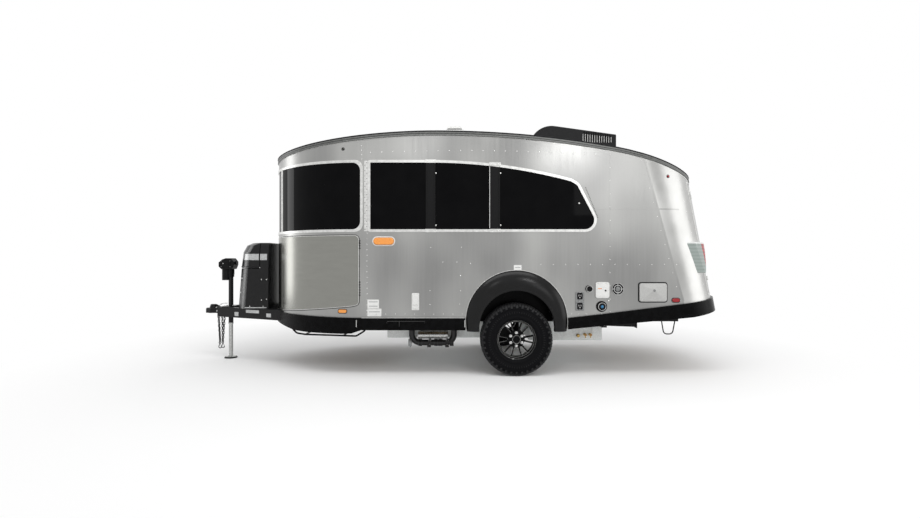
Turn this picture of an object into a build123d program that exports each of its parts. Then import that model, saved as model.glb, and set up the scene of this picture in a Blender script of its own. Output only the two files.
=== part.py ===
from build123d import *
from math import asin, cos, degrees, pi, radians, sin, sqrt
import os

os.makedirs("parts", exist_ok=True)

# Single-axle travel caravan with a riveted aluminium body.
# Millimetres. +X runs to the rear, +Y to the kerb (door) side, +Z up.
# The origin is on the ground, on the centreline, half-way along the caravan.

# ---------------------------------------------------------------- driving dimensions
BODY_HALF_WIDTH = 1013.0     # outer skin of the side walls
WALL = 40.0                  # skin, rib and lining together
SKIN_FOOT = 600.0            # lower edge of the side walls
PLAN_LOW, PLAN_HIGH = 450.0, 2850.0   # heights of the two plan sections

GAS_BACK_X = -2140.0         # back of the gas cover, inside the nose's lower edge
NOSE_START_X = -895.0        # where the nose begins to curve in
NOSE_SIDE_RADIUS = 1276.0
NOSE_SIDE_TURN = 53.0        # degrees turned before the tighter tip begins

REAR_X = 3030.0              # rear face at the height REAR_DATUM_Z
REAR_DATUM_Z = 600.0
REAR_LEAN = 0.145            # the rear face leans forward by this for each mm of height
CORNER_RADIUS = 440.0        # rear corner radius at the same height
CORNER_GROWTH = 0.13         # the radius grows by this for each mm of height

ROOF_APEX_X, ROOF_APEX_Z = -100.0, 2715.0
ROOF_FRONT_RADIUS, ROOF_MID_RADIUS, ROOF_REAR_RADIUS = 7100.0, 11000.0, 3000.0
ROOF_MID_END_X = 1800.0
ROOF_CROWN_RADIUS = 4720.0   # curve of the roof across the caravan
ROOF_THICK = 45.0

FLOOR_LOW, FLOOR_TOP = 650.0, 700.0
FRAME_LOW = 530.0            # underside of the chassis rails
RAIL_Y = 560.0               # centre of each main rail
RAIL_WIDTH = 60.0
RAIL_FRONT_X, RAIL_REAR_X = -1770.0, 2660.0

AXLE_X, AXLE_Z = 757.0, 387.0
TYRE_RADIUS, TYRE_WIDTH = 387.0, 245.0
TYRE_FACE_Y = 1050.0         # outer sidewall of the tyre
RIM_RADIUS = 214.0

ARCH_Z = 510.0               # centre height of the opening in the wheel arch
ARCH_RADIUS = 410.0
FLARE_Z, FLARE_RADIUS = 583.0, 542.0
FLARE_FACE_Y = 1075.0

WINDOW_LOW, WINDOW_HIGH = 1562.0, 2272.0
GLASS_THICK, GLASS_SET_IN = 6.0, 2.0

DOOR_FRONT_X, DOOR_REAR_X = -800.0, -120.0
DOOR_LOW, DOOR_HIGH = 706.0, 2380.0
DOOR_GAP = 6.0

HATCH_LOW, HATCH_HIGH = 870.0, 2085.0
HATCH_HALF_LOW, HATCH_HALF_HIGH = 840.0, 775.0
HATCH_GAP = 7.0

JACK_X = -2742.0
GAS_SPLIT_Z = 1130.0

STREET, KERB = -1, 1         # the sign of Y on each side


# ---------------------------------------------------------------- shared outlines
def rear_x(z):
    return REAR_X - REAR_LEAN * (z - REAR_DATUM_Z)


def corner_radius(z):
    return CORNER_RADIUS + CORNER_GROWTH * (z - REAR_DATUM_Z)


def seam_x(z):
    """Where the rear corner begins to curve in."""
    return rear_x(z) - corner_radius(z)


NOSE_TURN = radians(NOSE_SIDE_TURN)
NOSE_SIDE_CENTRE_Y = BODY_HALF_WIDTH - NOSE_SIDE_RADIUS
NOSE_JOINT_X = NOSE_START_X - NOSE_SIDE_RADIUS * sin(NOSE_TURN)
NOSE_JOINT_Y = NOSE_SIDE_CENTRE_Y + NOSE_SIDE_RADIUS * cos(NOSE_TURN)
NOSE_TIP_RADIUS = NOSE_JOINT_Y / cos(NOSE_TURN)
NOSE_TIP_CENTRE_X = NOSE_JOINT_X + NOSE_TIP_RADIUS * sin(NOSE_TURN)


def plan_sketch(z, inset):
    """Plan of the body at height z, moved in by inset: nose, sides, rear corners."""
    side = BODY_HALF_WIDTH - inset
    rear = rear_x(z) - inset
    corner = corner_radius(z) - inset
    corner_x = seam_x(z)
    corner_y = BODY_HALF_WIDTH - corner_radius(z)
    nose_r = NOSE_SIDE_RADIUS - inset
    tip_r = NOSE_TIP_RADIUS - inset
    with BuildSketch(Plane.XY.offset(z)) as plan:
        with BuildLine():
            Line((NOSE_START_X, side), (corner_x, side))
            CenterArc((corner_x, corner_y), corner, 90, -90)
            Line((rear, corner_y), (rear, -corner_y))
            CenterArc((corner_x, -corner_y), corner, 0, -90)
            Line((corner_x, -side), (NOSE_START_X, -side))
            CenterArc((NOSE_START_X, -NOSE_SIDE_CENTRE_Y), nose_r, -90, -NOSE_SIDE_TURN)
            CenterArc((NOSE_TIP_CENTRE_X, 0), tip_r, 270 - NOSE_SIDE_TURN,
                      -2 * (90 - NOSE_SIDE_TURN))
            CenterArc((NOSE_START_X, NOSE_SIDE_CENTRE_Y), nose_r, 90 + NOSE_SIDE_TURN,
                      -NOSE_SIDE_TURN)
        make_face()
    return plan.sketch


def plan_solid(inset):
    """Everything inside the body's walls moved in by inset, before the roof is cut."""
    low, high = plan_sketch(PLAN_LOW, inset), plan_sketch(PLAN_HIGH, inset)
    with BuildPart() as inside:
        loft([low.face(), high.face()], ruled=True)
    return inside.part


CROWN_AXIS_Z = ROOF_APEX_Z - ROOF_CROWN_RADIUS
DOME_SWEEP = 40.0            # half the angle the roof curve is turned through
DOME_INNER = 600.0
ROOF_FRONT_ANGLE = 18.0
ROOF_MID_ANGLE = degrees(asin((ROOF_MID_END_X - ROOF_APEX_X) / ROOF_MID_RADIUS))
ROOF_REAR_ANGLE = 31.0


def dome_solid(inset):
    """Everything below the roof surface moved in by inset: its curve turned about X."""
    apex = ROOF_APEX_Z - CROWN_AXIS_Z
    lean = radians(DOME_SWEEP)
    plane = Plane(origin=(0, 0, CROWN_AXIS_Z), x_dir=(1, 0, 0), z_dir=(0, -cos(lean), sin(lean)))
    mid_y = apex - ROOF_MID_RADIUS
    turn = radians(90 - ROOF_MID_ANGLE)
    rear_c = (ROOF_APEX_X + (ROOF_MID_RADIUS - ROOF_REAR_RADIUS) * cos(turn),
              mid_y + (ROOF_MID_RADIUS - ROOF_REAR_RADIUS) * sin(turn))
    with BuildPart() as dome:
        with BuildSketch(plane):
            with BuildLine():
                front = CenterArc((ROOF_APEX_X, apex - ROOF_FRONT_RADIUS),
                                  ROOF_FRONT_RADIUS - inset, 90, ROOF_FRONT_ANGLE)
                CenterArc((ROOF_APEX_X, mid_y), ROOF_MID_RADIUS - inset, 90, -ROOF_MID_ANGLE)
                rear = CenterArc(rear_c, ROOF_REAR_RADIUS - inset, 90 - ROOF_MID_ANGLE,
                                 -ROOF_REAR_ANGLE)
                Polyline(rear @ 1, ((rear @ 1).X, DOME_INNER), ((front @ 1).X, DOME_INNER),
                         front @ 1)
            make_face()
        revolve(axis=Axis((0, 0, CROWN_AXIS_Z), (1, 0, 0)), revolution_arc=2 * DOME_SWEEP)
    return dome.part


def side_prism(points, y_low, y_high, radius=0):
    """A side-view outline (x, z) pushed through from y_low to y_high."""
    with BuildPart() as prism:
        with BuildSketch(Plane.XZ.offset(-y_low)) as outline:
            Polygon(*points, align=None)
            if radius:
                fillet(outline.vertices(), radius)
        extrude(amount=-(y_high - y_low))
    return prism.part


def block(low, high):
    """A plain box between two corners, used as a region."""
    size = [h - l for l, h in zip(low, high)]
    centre = [(h + l) / 2 for l, h in zip(low, high)]
    return Pos(*centre) * Box(*size, mode=Mode.PRIVATE)


def mirrored(part):
    return part.mirror(Plane.XZ)


def write(part, label):
    part.label = label
    export_step(part, f"parts/{label}.step")


# ---------------------------------------------------------------- body shell
FAR = 4000.0
plan_outer = plan_solid(0)
plan_inner = plan_solid(WALL)
dome_outer = dome_solid(0)
dome_inner = dome_solid(ROOF_THICK)

# the underside rises behind the wheels
TAIL_RISE_X, TAIL_FOOT = 1900.0, 700.0
above_ground = side_prism([(-FAR, SKIN_FOOT), (TAIL_RISE_X, SKIN_FOOT), (REAR_X, TAIL_FOOT),
                           (FAR, TAIL_FOOT), (FAR, FAR), (-FAR, FAR)], -FAR, FAR)

with BuildPart() as walls:
    add(plan_outer)
    add(plan_inner, mode=Mode.SUBTRACT)
    add(dome_inner, mode=Mode.INTERSECT)
    add(above_ground, mode=Mode.INTERSECT)

# window outlines, seen from the side (x, z)
SIDE_FRONT_X, SIDE_FLAT_X, SIDE_DROP_X, SIDE_DROP_Z = -800.0, -181.0, 1330.0, 2075.0
SIDE_SHOULDER_X, SIDE_SHOULDER_Z = 1400.0, 2035.0
SIDE_TIP_X = 1646.0
MULLIONS = [(-210.0, -108.0), (472.0, 580.0)]     # (front edge, rear edge)


def side_window_sketch():
    """The long side window: level, then falling to a slanted rear edge."""
    with BuildSketch(Plane.XZ) as outline:
        with BuildLine():
            Line((SIDE_FRONT_X, WINDOW_LOW), (SIDE_FRONT_X, WINDOW_HIGH))
            top = Line((SIDE_FRONT_X, WINDOW_HIGH), (SIDE_FLAT_X, WINDOW_HIGH))
            fall = TangentArc(top @ 1, (SIDE_DROP_X, SIDE_DROP_Z), tangent=(1, 0))
            Polyline(fall @ 1, (SIDE_SHOULDER_X, SIDE_SHOULDER_Z), (SIDE_TIP_X, WINDOW_LOW),
                     (SIDE_FRONT_X, WINDOW_LOW))
        make_face()
        fillet(outline.vertices().sort_by(Axis.X)[-1], 100)
        fillet(outline.vertices().group_by(Axis.X)[-3], 70)
    return outline.sketch.face()


window_face = side_window_sketch()


def side_window_region(side, x_low, x_high):
    """The part of the long window between two x, pushed through one wall."""
    with BuildPart() as region:
        extrude(window_face, amount=FAR, dir=(0, side, 0))
    keep = block((x_low, -FAR, 0), (x_high, FAR, FAR))
    return region.part.intersect(keep).solid()


PANES = [(SIDE_FRONT_X, MULLIONS[0][0]), (MULLIONS[0][1], MULLIONS[1][0]), (MULLIONS[1][1], 1700.0)]
street_panes = [side_window_region(STREET, *edges) for edges in PANES]
KERB_PANES = [(-40.0, MULLIONS[1][0]), PANES[2]]
kerb_panes = [side_window_region(KERB, *edges) for edges in KERB_PANES]

FRONT_PANE_REAR_X = -908.0   # rear edge of the wrap-round pane
FRONT_PANE_JOINT = 9.0       # half the gap between two front panes
FRONT_PANE_RADIUS = 85.0


def front_pane_region(side):
    """Aperture of the wrap-round pane on one side, its rear corners rounded."""
    start = side * (NOSE_JOINT_Y + FRONT_PANE_JOINT)
    with BuildPart() as pane:
        with BuildSketch(Plane.XZ.offset(-start)) as outline:
            Polygon((-FAR, WINDOW_LOW), (FRONT_PANE_REAR_X, WINDOW_LOW),
                    (FRONT_PANE_REAR_X, WINDOW_HIGH), (-FAR, WINDOW_HIGH), align=None)
            fillet(outline.vertices().group_by(Axis.X)[-1], FRONT_PANE_RADIUS)
        extrude(amount=-side * FAR)
    return pane.part


centre_half = NOSE_JOINT_Y - FRONT_PANE_JOINT
front_regions = [front_pane_region(STREET), front_pane_region(KERB),
                 block((-FAR, -centre_half, WINDOW_LOW), (-1500, centre_half, WINDOW_HIGH))]

# the A-frame passes out under the nose
TONGUE_TIP_X, TONGUE_TIP_Y = -2860.0, 62.0
tongue_run, tongue_rise = RAIL_FRONT_X - TONGUE_TIP_X, RAIL_Y - TONGUE_TIP_Y
tongue_length = sqrt(tongue_run ** 2 + tongue_rise ** 2)
tongue_angle = degrees(asin(tongue_rise / tongue_length))
RAIL_MID_Z = (FLOOR_LOW + FRAME_LOW) / 2
tongue_place = Pos(TONGUE_TIP_X, TONGUE_TIP_Y, RAIL_MID_Z) * Rot(0, 0, tongue_angle)
tongue_room = tongue_place * Box(2 * tongue_length + 80, RAIL_WIDTH + 6, FLOOR_LOW - FRAME_LOW + 6)
tongue_rooms = [tongue_room, mirrored(tongue_room)]

# nose, wrapped round from wall to wall
nose_region = block((-FAR, -FAR, 0), (NOSE_START_X, FAR, FAR))
with BuildPart() as nose_shell:
    add(walls.part)
    add(nose_region, mode=Mode.INTERSECT)
    add(front_regions, mode=Mode.SUBTRACT)
    add(tongue_rooms, mode=Mode.SUBTRACT)
write(nose_shell.part, "nose_shell")

glass_outer, glass_inner = plan_solid(GLASS_SET_IN), plan_solid(GLASS_SET_IN + GLASS_THICK)
with BuildPart() as glass_skin:
    add(glass_outer)
    add(glass_inner, mode=Mode.SUBTRACT)

front_panes = [pane for region in front_regions for pane in region.intersect(glass_skin.part).solids()]
with BuildPart() as front_glass:
    add(front_panes)
write(front_glass.part, "front_glass")

# side walls run from the nose to the slanted seam of the rear corner
SEAM_REGION = [(NOSE_START_X, 0), (seam_x(0), 0), (seam_x(FAR), FAR), (NOSE_START_X, FAR)]
SERVICE_X, SERVICE_Z = 2206.0, 891.0     # centre of the white service door
SERVICE_SIZE = (300.0, 205.0)
SERVICE_DEPTH = 22.0
SERVICE_GAP = 6.0


def wall_between(y_low, y_high):
    region = side_prism(SEAM_REGION, y_low, y_high)
    with BuildPart() as wall:
        add(walls.part)
        add(region, mode=Mode.INTERSECT)
        with BuildSketch(Plane.XZ.offset(-y_low)):
            with Locations((AXLE_X, ARCH_Z)):
                Circle(ARCH_RADIUS)
        extrude(amount=-(y_high - y_low), mode=Mode.SUBTRACT)
    return wall.part


service_low = (SERVICE_X - SERVICE_SIZE[0] / 2, -BODY_HALF_WIDTH - 10, SERVICE_Z - SERVICE_SIZE[1] / 2)
service_high = (SERVICE_X + SERVICE_SIZE[0] / 2, -BODY_HALF_WIDTH + SERVICE_DEPTH,
                SERVICE_Z + SERVICE_SIZE[1] / 2)
service_pocket = block(service_low, service_high)
street_side, kerb_side = wall_between(-FAR, 0), wall_between(0, FAR)

with BuildPart() as wall_street:
    add(street_side)
    add(street_panes, mode=Mode.SUBTRACT)
    add(service_pocket, mode=Mode.SUBTRACT)
write(wall_street.part, "wall_street")

door_hole = side_prism([(DOOR_FRONT_X, DOOR_LOW), (DOOR_REAR_X, DOOR_LOW), (DOOR_REAR_X, DOOR_HIGH),
                        (DOOR_FRONT_X, DOOR_HIGH)], 0, FAR, radius=70)
with BuildPart() as wall_kerb:
    add(kerb_side)
    add(door_hole, mode=Mode.SUBTRACT)
    add(kerb_panes, mode=Mode.SUBTRACT)
write(wall_kerb.part, "wall_kerb")

side_panes = [pane for region in street_panes + kerb_panes
              for pane in region.intersect(glass_skin.part).solids()]
with BuildPart() as side_glass:
    add(side_panes)
write(side_glass.part, "side_glass")


# bright extruded frames round the windows, and the black strips between the panes
FRAME_WIDE, FRAME_PROUD, STRIP_PROUD = 28.0, 8.0, 5.0
frame_plan = plan_solid(-FRAME_PROUD)


def side_frame(side, x_low):
    """Frame round one side's window, from x_low to its slanted rear edge."""
    with BuildSketch(Plane.XZ) as opening:
        add(window_face)
        with Locations((x_low - FAR / 2, FAR / 2)):
            Rectangle(FAR, FAR, mode=Mode.SUBTRACT)
    with BuildSketch(Plane.XZ) as ring:
        add(opening.sketch)
        offset(amount=FRAME_WIDE)
        add(opening.sketch, mode=Mode.SUBTRACT)
    near, far = side * BODY_HALF_WIDTH, side * (BODY_HALF_WIDTH + FRAME_PROUD)
    with BuildPart() as frame:
        extrude(ring.sketch.face(), amount=FAR, dir=(0, side, 0))
    keep = block((-FAR, min(near, far), 0), (FAR, max(near, far), FAR))
    return frame.part.intersect(keep).solid()


front_band = side_prism([(-FAR, WINDOW_LOW - FRAME_WIDE),
                         (FRONT_PANE_REAR_X + FRAME_WIDE, WINDOW_LOW - FRAME_WIDE),
                         (FRONT_PANE_REAR_X + FRAME_WIDE, WINDOW_HIGH + FRAME_WIDE),
                         (-FAR, WINDOW_HIGH + FRAME_WIDE)], -FAR, FAR, radius=FRONT_PANE_RADIUS)
side_frames = [side_frame(STREET, SIDE_FRONT_X), side_frame(KERB, KERB_PANES[0][0])]
with BuildPart() as window_frames:
    add(frame_plan)
    add(plan_outer, mode=Mode.SUBTRACT)
    add(front_band, mode=Mode.INTERSECT)
    add(front_regions, mode=Mode.SUBTRACT)
    add(side_frames)
write(window_frames.part, "window_frames")

strip_plan = plan_solid(-STRIP_PROUD)
strip_regions = [side_window_region(STREET, *edges) for edges in MULLIONS]
strip_regions.append(side_window_region(KERB, *MULLIONS[1]))
with BuildPart() as strip_skin:
    add(strip_plan)
    add(plan_outer, mode=Mode.SUBTRACT)
strips = [strip for region in strip_regions for strip in region.intersect(strip_skin.part).solids()]
with BuildPart() as window_strips:
    add(strips)
write(window_strips.part, "window_strips")


def hatch_outline(gap):
    """The rear hatch seen from behind: wider at its foot."""
    slope = (HATCH_HALF_LOW - HATCH_HALF_HIGH) / (HATCH_HIGH - HATCH_LOW)
    low, high = HATCH_LOW + gap, HATCH_HIGH - gap
    half_low = HATCH_HALF_LOW - slope * gap - gap
    half_high = HATCH_HALF_HIGH + slope * gap - gap
    return [(-half_low, low), (half_low, low), (half_high, high), (-half_high, high)]


def rear_prism(points, radius=0):
    """An outline (y, z) seen from behind, pushed forward from behind the caravan."""
    with BuildPart() as prism:
        with BuildSketch(Plane.YZ.offset(1800)) as outline:
            Polygon(*points, align=None)
            if radius:
                fillet(outline.vertices(), radius)
        extrude(amount=2000)
    return prism.part


hatch_hole = rear_prism(hatch_outline(0), radius=60)
REAR_REGION = [(seam_x(0), 0), (FAR, 0), (FAR, FAR), (seam_x(FAR), FAR)]
rear_region = side_prism(REAR_REGION, -FAR, FAR)
REAR_SPLIT_Y = 640.0
middle = block((0, -REAR_SPLIT_Y, 0), (FAR, REAR_SPLIT_Y, FAR))
with BuildPart() as rear_shell:
    add(walls.part)
    add(rear_region, mode=Mode.INTERSECT)
    add(hatch_hole, mode=Mode.SUBTRACT)
with BuildPart() as rear_corners:
    add(rear_shell.part)
    add(middle, mode=Mode.SUBTRACT)
write(rear_corners.part, "rear_corners")
with BuildPart() as rear_frame:
    add(rear_shell.part)
    add(middle, mode=Mode.INTERSECT)
write(rear_frame.part, "rear_frame")

# rear hatch with its window
HATCH_WINDOW = [(-560, 1420), (560, 1420), (530, 1960), (-530, 1960)]
hatch_window_hole = rear_prism(HATCH_WINDOW, radius=70)
hatch_leaf = rear_prism(hatch_outline(HATCH_GAP), radius=55)
with BuildPart() as rear_hatch:
    add(plan_outer)
    add(plan_inner, mode=Mode.SUBTRACT)
    add(hatch_leaf, mode=Mode.INTERSECT)
    add(hatch_window_hole, mode=Mode.SUBTRACT)
write(rear_hatch.part, "rear_hatch")
with BuildPart() as hatch_glass:
    add(glass_skin.part)
    add(hatch_window_hole, mode=Mode.INTERSECT)
write(hatch_glass.part, "hatch_glass")

# roof, with the hole for the vent
VENT_X, VENT_HALF = 92.0, 178.0
vent_hole = block((VENT_X - VENT_HALF, -VENT_HALF, 2000), (VENT_X + VENT_HALF, VENT_HALF, FAR))
with BuildPart() as roof:
    add(plan_outer)
    add(dome_outer, mode=Mode.INTERSECT)
    add(dome_inner, mode=Mode.SUBTRACT)
    add(vent_hole, mode=Mode.SUBTRACT)
write(roof.part, "roof")

# black edge trim round the roof
TRIM_PROUD, TRIM_OVER, TRIM_UNDER = 10.0, 8.0, 30.0
trim_plan, trim_top, trim_low = plan_solid(-TRIM_PROUD), dome_solid(-TRIM_OVER), dome_solid(TRIM_UNDER)
trim_span = block((-FAR, -FAR, 2000), (FAR, FAR, FAR))
with BuildPart() as roof_trim:
    add(trim_plan)
    add(trim_top, mode=Mode.INTERSECT)
    add(trim_low, mode=Mode.SUBTRACT)
    add(plan_outer, mode=Mode.SUBTRACT)
    add(trim_span, mode=Mode.INTERSECT)
write(roof_trim.part, "roof_trim")

# floor, cut away over the wheels
WELL_HALF, WELL_IN_Y = 436.0, 740.0
floor_slab = side_prism([(-FAR, FLOOR_LOW), (2200, FLOOR_LOW), (REAR_X, 745), (REAR_X, 795),
                         (2200, FLOOR_TOP),
                         (-FAR, FLOOR_TOP)], -FAR, FAR)
well_holes = [block((AXLE_X - WELL_HALF, -FAR, 0), (AXLE_X + WELL_HALF, -WELL_IN_Y, FAR)),
              block((AXLE_X - WELL_HALF, WELL_IN_Y, 0), (AXLE_X + WELL_HALF, FAR, FAR))]
with BuildPart() as floor:
    add(plan_inner)
    add(floor_slab, mode=Mode.INTERSECT)
    add(well_holes, mode=Mode.SUBTRACT)
write(floor.part, "floor")

# ---------------------------------------------------------------- entry door
DOOR_WINDOW_X = (-735.0, -185.0)


def door_outline(gap):
    """Corners (x, z) of the door's opening moved in by gap."""
    front, rear = DOOR_FRONT_X + gap, DOOR_REAR_X - gap
    low, high = DOOR_LOW + gap, DOOR_HIGH - gap
    return [(front, low), (rear, low), (rear, high), (front, high)]


def door_window_prism(grow, y_low, y_high, radius):
    front, rear = DOOR_WINDOW_X[0] - grow, DOOR_WINDOW_X[1] + grow
    low, high = WINDOW_LOW - grow, WINDOW_HIGH + grow
    return side_prism([(front, low), (rear, low), (rear, high), (front, high)], y_low, y_high, radius)


DOOR_CORNER = 64.0
door_leaf = side_prism(door_outline(DOOR_GAP), 0, FAR, radius=DOOR_CORNER)
door_window = door_window_prism(0, 0, FAR, DOOR_CORNER)
door_frame = door_window_prism(FRAME_WIDE, BODY_HALF_WIDTH, BODY_HALF_WIDTH + FRAME_PROUD,
                               DOOR_CORNER + FRAME_WIDE)
HANDLE_X, HANDLE_Z = DOOR_REAR_X - 70.0, 1330.0
HANDLE_PLATE, HANDLE_GRIP = (56.0, 170.0, 10.0), (24.0, 130.0, 28.0)   # width, height, depth
with BuildPart() as entry_door:
    add(plan_outer)
    add(plan_inner, mode=Mode.SUBTRACT)
    add(door_leaf, mode=Mode.INTERSECT)
    add(door_frame)
    add(door_window, mode=Mode.SUBTRACT)
    for width, height, depth in (HANDLE_PLATE, HANDLE_GRIP):
        with BuildSketch(Plane.XZ.offset(-BODY_HALF_WIDTH)):
            with Locations((HANDLE_X, HANDLE_Z)):
                RectangleRounded(width, height, width / 3)
        extrude(amount=-depth)
write(entry_door.part, "entry_door")
with BuildPart() as door_glass:
    add(glass_skin.part)
    add(door_window, mode=Mode.INTERSECT)
write(door_glass.part, "door_glass")

# ---------------------------------------------------------------- stone guards and skirts
GUARD_THICK = 4.0
GUARD_REAR_X, GUARD_TOP_Z, GUARD_TIP_FOOT_Z, GUARD_REAR_FOOT_Z = -920.0, 1500.0, 650.0, 752.0
GUARD_CORNER, GUARD_JOINT = 45.0, 8.0
guard_plan = plan_solid(-GUARD_THICK)
guard_span = side_prism([(-FAR, 500), (-1960, GUARD_TIP_FOOT_Z), (GUARD_REAR_X, GUARD_REAR_FOOT_Z),
                         (GUARD_REAR_X, GUARD_TOP_Z), (-FAR, GUARD_TOP_Z)], -FAR, FAR)
guard_corners = (guard_span.edges().filter_by(Axis.Y).group_by(Axis.X)[-1])
guard_span = fillet(guard_corners, GUARD_CORNER)
guard_low = block((-FAR, -FAR, 0), (0, FAR, SKIN_FOOT + 40))
with BuildPart() as stone_guards:
    add(guard_plan)
    add(plan_outer, mode=Mode.SUBTRACT)
    add(guard_span, mode=Mode.INTERSECT)
    add(guard_low, mode=Mode.SUBTRACT)
    for side in (STREET, KERB):
        with Locations((NOSE_JOINT_X, side * NOSE_JOINT_Y, GUARD_TOP_Z / 2)):
            Box(300, GUARD_JOINT, GUARD_TOP_Z + 2 * GUARD_JOINT, mode=Mode.SUBTRACT)
write(stone_guards.part, "stone_guards")

SKIRT_THICK = 24.0
SKIRT_TOP, SKIRT_LOW = 620.0, 490.0
# seen from the side (x, z): level top, risen tail, and a foot that dips under the nose
SKIRT_PROFILE = [(-FAR, 640), (-1900, 634), (-1000, SKIRT_TOP), (1300, SKIRT_TOP), (1770, 674), (2530, 769),
                 (REAR_X, 832), (FAR, 900), (FAR, 690), (REAR_X, 690), (2640, 628), (2200, 585), (1500, 520),
                 (1200, SKIRT_LOW), (NOSE_START_X, SKIRT_LOW), (-1000, 455), (-1300, 442), (-1700, 456),
                 (-1990, 512), (-2110, 545), (-FAR, 560)]
skirt_plan, skirt_span = plan_solid(-SKIRT_THICK), side_prism(SKIRT_PROFILE, -FAR, FAR)
with BuildPart() as skirt:
    add(skirt_plan)
    add(plan_outer, mode=Mode.SUBTRACT)
    add(skirt_span, mode=Mode.INTERSECT)
FLARE_IN = FLARE_RADIUS + 3
SKIRT_RANGES = {"skirt_front": (-FAR, NOSE_START_X), "skirt_sides": (NOSE_START_X, 2550),
                "skirt_rear": (2550, FAR)}
arch_span = block((AXLE_X - FLARE_IN, -FAR, 0), (AXLE_X + FLARE_IN, FAR, FAR))
for name, (x_low, x_high) in SKIRT_RANGES.items():
    span = block((x_low, -FAR, 0), (x_high, FAR, FAR))
    with BuildPart() as skirt_piece:
        add(skirt.part)
        add(span, mode=Mode.INTERSECT)
        if name == "skirt_sides":
            add(arch_span, mode=Mode.SUBTRACT)
        if name == "skirt_front":
            add(tongue_rooms, mode=Mode.SUBTRACT)
    write(skirt_piece.part, name)

# ---------------------------------------------------------------- wheel arches
FLARE_FOOT, FLARE_OPEN = 478.0, 398.0
FLARE_LIP, FLARE_LIP_THICK, FLARE_ROUND = 25.0, 7.0, 56.0


def flare(side):
    face = side * BODY_HALF_WIDTH
    with BuildPart() as ring:
        with BuildSketch(Plane.XZ.offset(-face)) as outline:
            with Locations((AXLE_X, FLARE_Z)):
                Circle(FLARE_RADIUS - FLARE_LIP)
            with Locations((AXLE_X, FLARE_FOOT - FLARE_RADIUS)):
                Rectangle(3 * FLARE_RADIUS, 2 * FLARE_RADIUS, mode=Mode.SUBTRACT)
        extrude(amount=-side * (FLARE_FACE_Y - BODY_HALF_WIDTH))
        rim = ring.edges().filter_by(GeomType.CIRCLE).sort_by(Axis.Y)[0 if side < 0 else -1]
        fillet(rim, FLARE_ROUND)
        with BuildSketch(Plane.XZ.offset(-face)):
            with Locations((AXLE_X, FLARE_Z)):
                Circle(FLARE_RADIUS)
            with Locations((AXLE_X, FLARE_FOOT - FLARE_RADIUS)):
                Rectangle(3 * FLARE_RADIUS, 2 * FLARE_RADIUS, mode=Mode.SUBTRACT)
        extrude(amount=-side * FLARE_LIP_THICK)
        with BuildSketch(Plane.XZ.offset(-face)):
            with Locations((AXLE_X, ARCH_Z)):
                Circle(FLARE_OPEN)
        extrude(amount=-side * 100, mode=Mode.SUBTRACT)
    return ring.part


both_flares = [flare(STREET), flare(KERB)]
with BuildPart() as flares:
    add(both_flares)
write(flares.part, "flares")

WELL_THICK = 6.0
WELL_FOOT = 560.0


def wheel_well(side):
    low, high = sorted((side * WELL_IN_Y, side * (BODY_HALF_WIDTH - WALL)))
    with BuildPart() as well:
        for grow, inner in ((0, 0), (-WELL_THICK, WELL_THICK)):
            mode = Mode.SUBTRACT if inner else Mode.ADD
            y_low = low + (inner if side > 0 else -1 if inner else 0)
            y_high = high - (inner if side < 0 else -1 if inner else 0)
            with BuildSketch(Plane.XZ.offset(-y_low)):
                with Locations((AXLE_X, ARCH_Z)):
                    Circle(WELL_HALF + grow - WELL_THICK)
                with Locations((AXLE_X, WELL_FOOT - WELL_HALF)):
                    Rectangle(3 * WELL_HALF, 2 * WELL_HALF, mode=Mode.SUBTRACT)
            extrude(amount=-(y_high - y_low), mode=mode)
    return well.part


both_wells = [wheel_well(STREET), wheel_well(KERB)]
with BuildPart() as wheel_wells:
    add(both_wells)
write(wheel_wells.part, "wheel_wells")

# ---------------------------------------------------------------- chassis
FRAME_TOP = FLOOR_LOW
CHANNEL = 6.0


def channel(length):
    """A C-section rail along X, open towards the middle of the caravan."""
    with BuildPart() as rail:
        with BuildSketch(Plane.YZ):
            Rectangle(RAIL_WIDTH, FRAME_TOP - FRAME_LOW)
            with Locations((-CHANNEL, 0)):
                Rectangle(RAIL_WIDTH, FRAME_TOP - FRAME_LOW - 2 * CHANNEL, mode=Mode.SUBTRACT)
        extrude(amount=length)
    return rail.part


rail_kerb = Pos(RAIL_FRONT_X, RAIL_Y, RAIL_MID_Z) * channel(RAIL_REAR_X - RAIL_FRONT_X)
rail_street = mirrored(rail_kerb)
with BuildPart() as main_rails:
    add(rail_kerb)
    add(rail_street)
write(main_rails.part, "main_rails")

CROSS_X = [-1500.0, -750.0, 850.0, 2000.0, 2570.0]
with BuildPart() as cross_members:
    for x in CROSS_X:
        with Locations((x, 0, RAIL_MID_Z)):
            Box(50, 2 * RAIL_Y - RAIL_WIDTH, FRAME_TOP - FRAME_LOW - 20)
write(cross_members.part, "cross_members")

tongue_rail = tongue_place * channel(tongue_length - 18)
tongue_street = mirrored(tongue_rail)
with BuildPart() as tongue_rails:
    add(tongue_rail)
    add(tongue_street)
write(tongue_rails.part, "tongue_rails")

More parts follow.
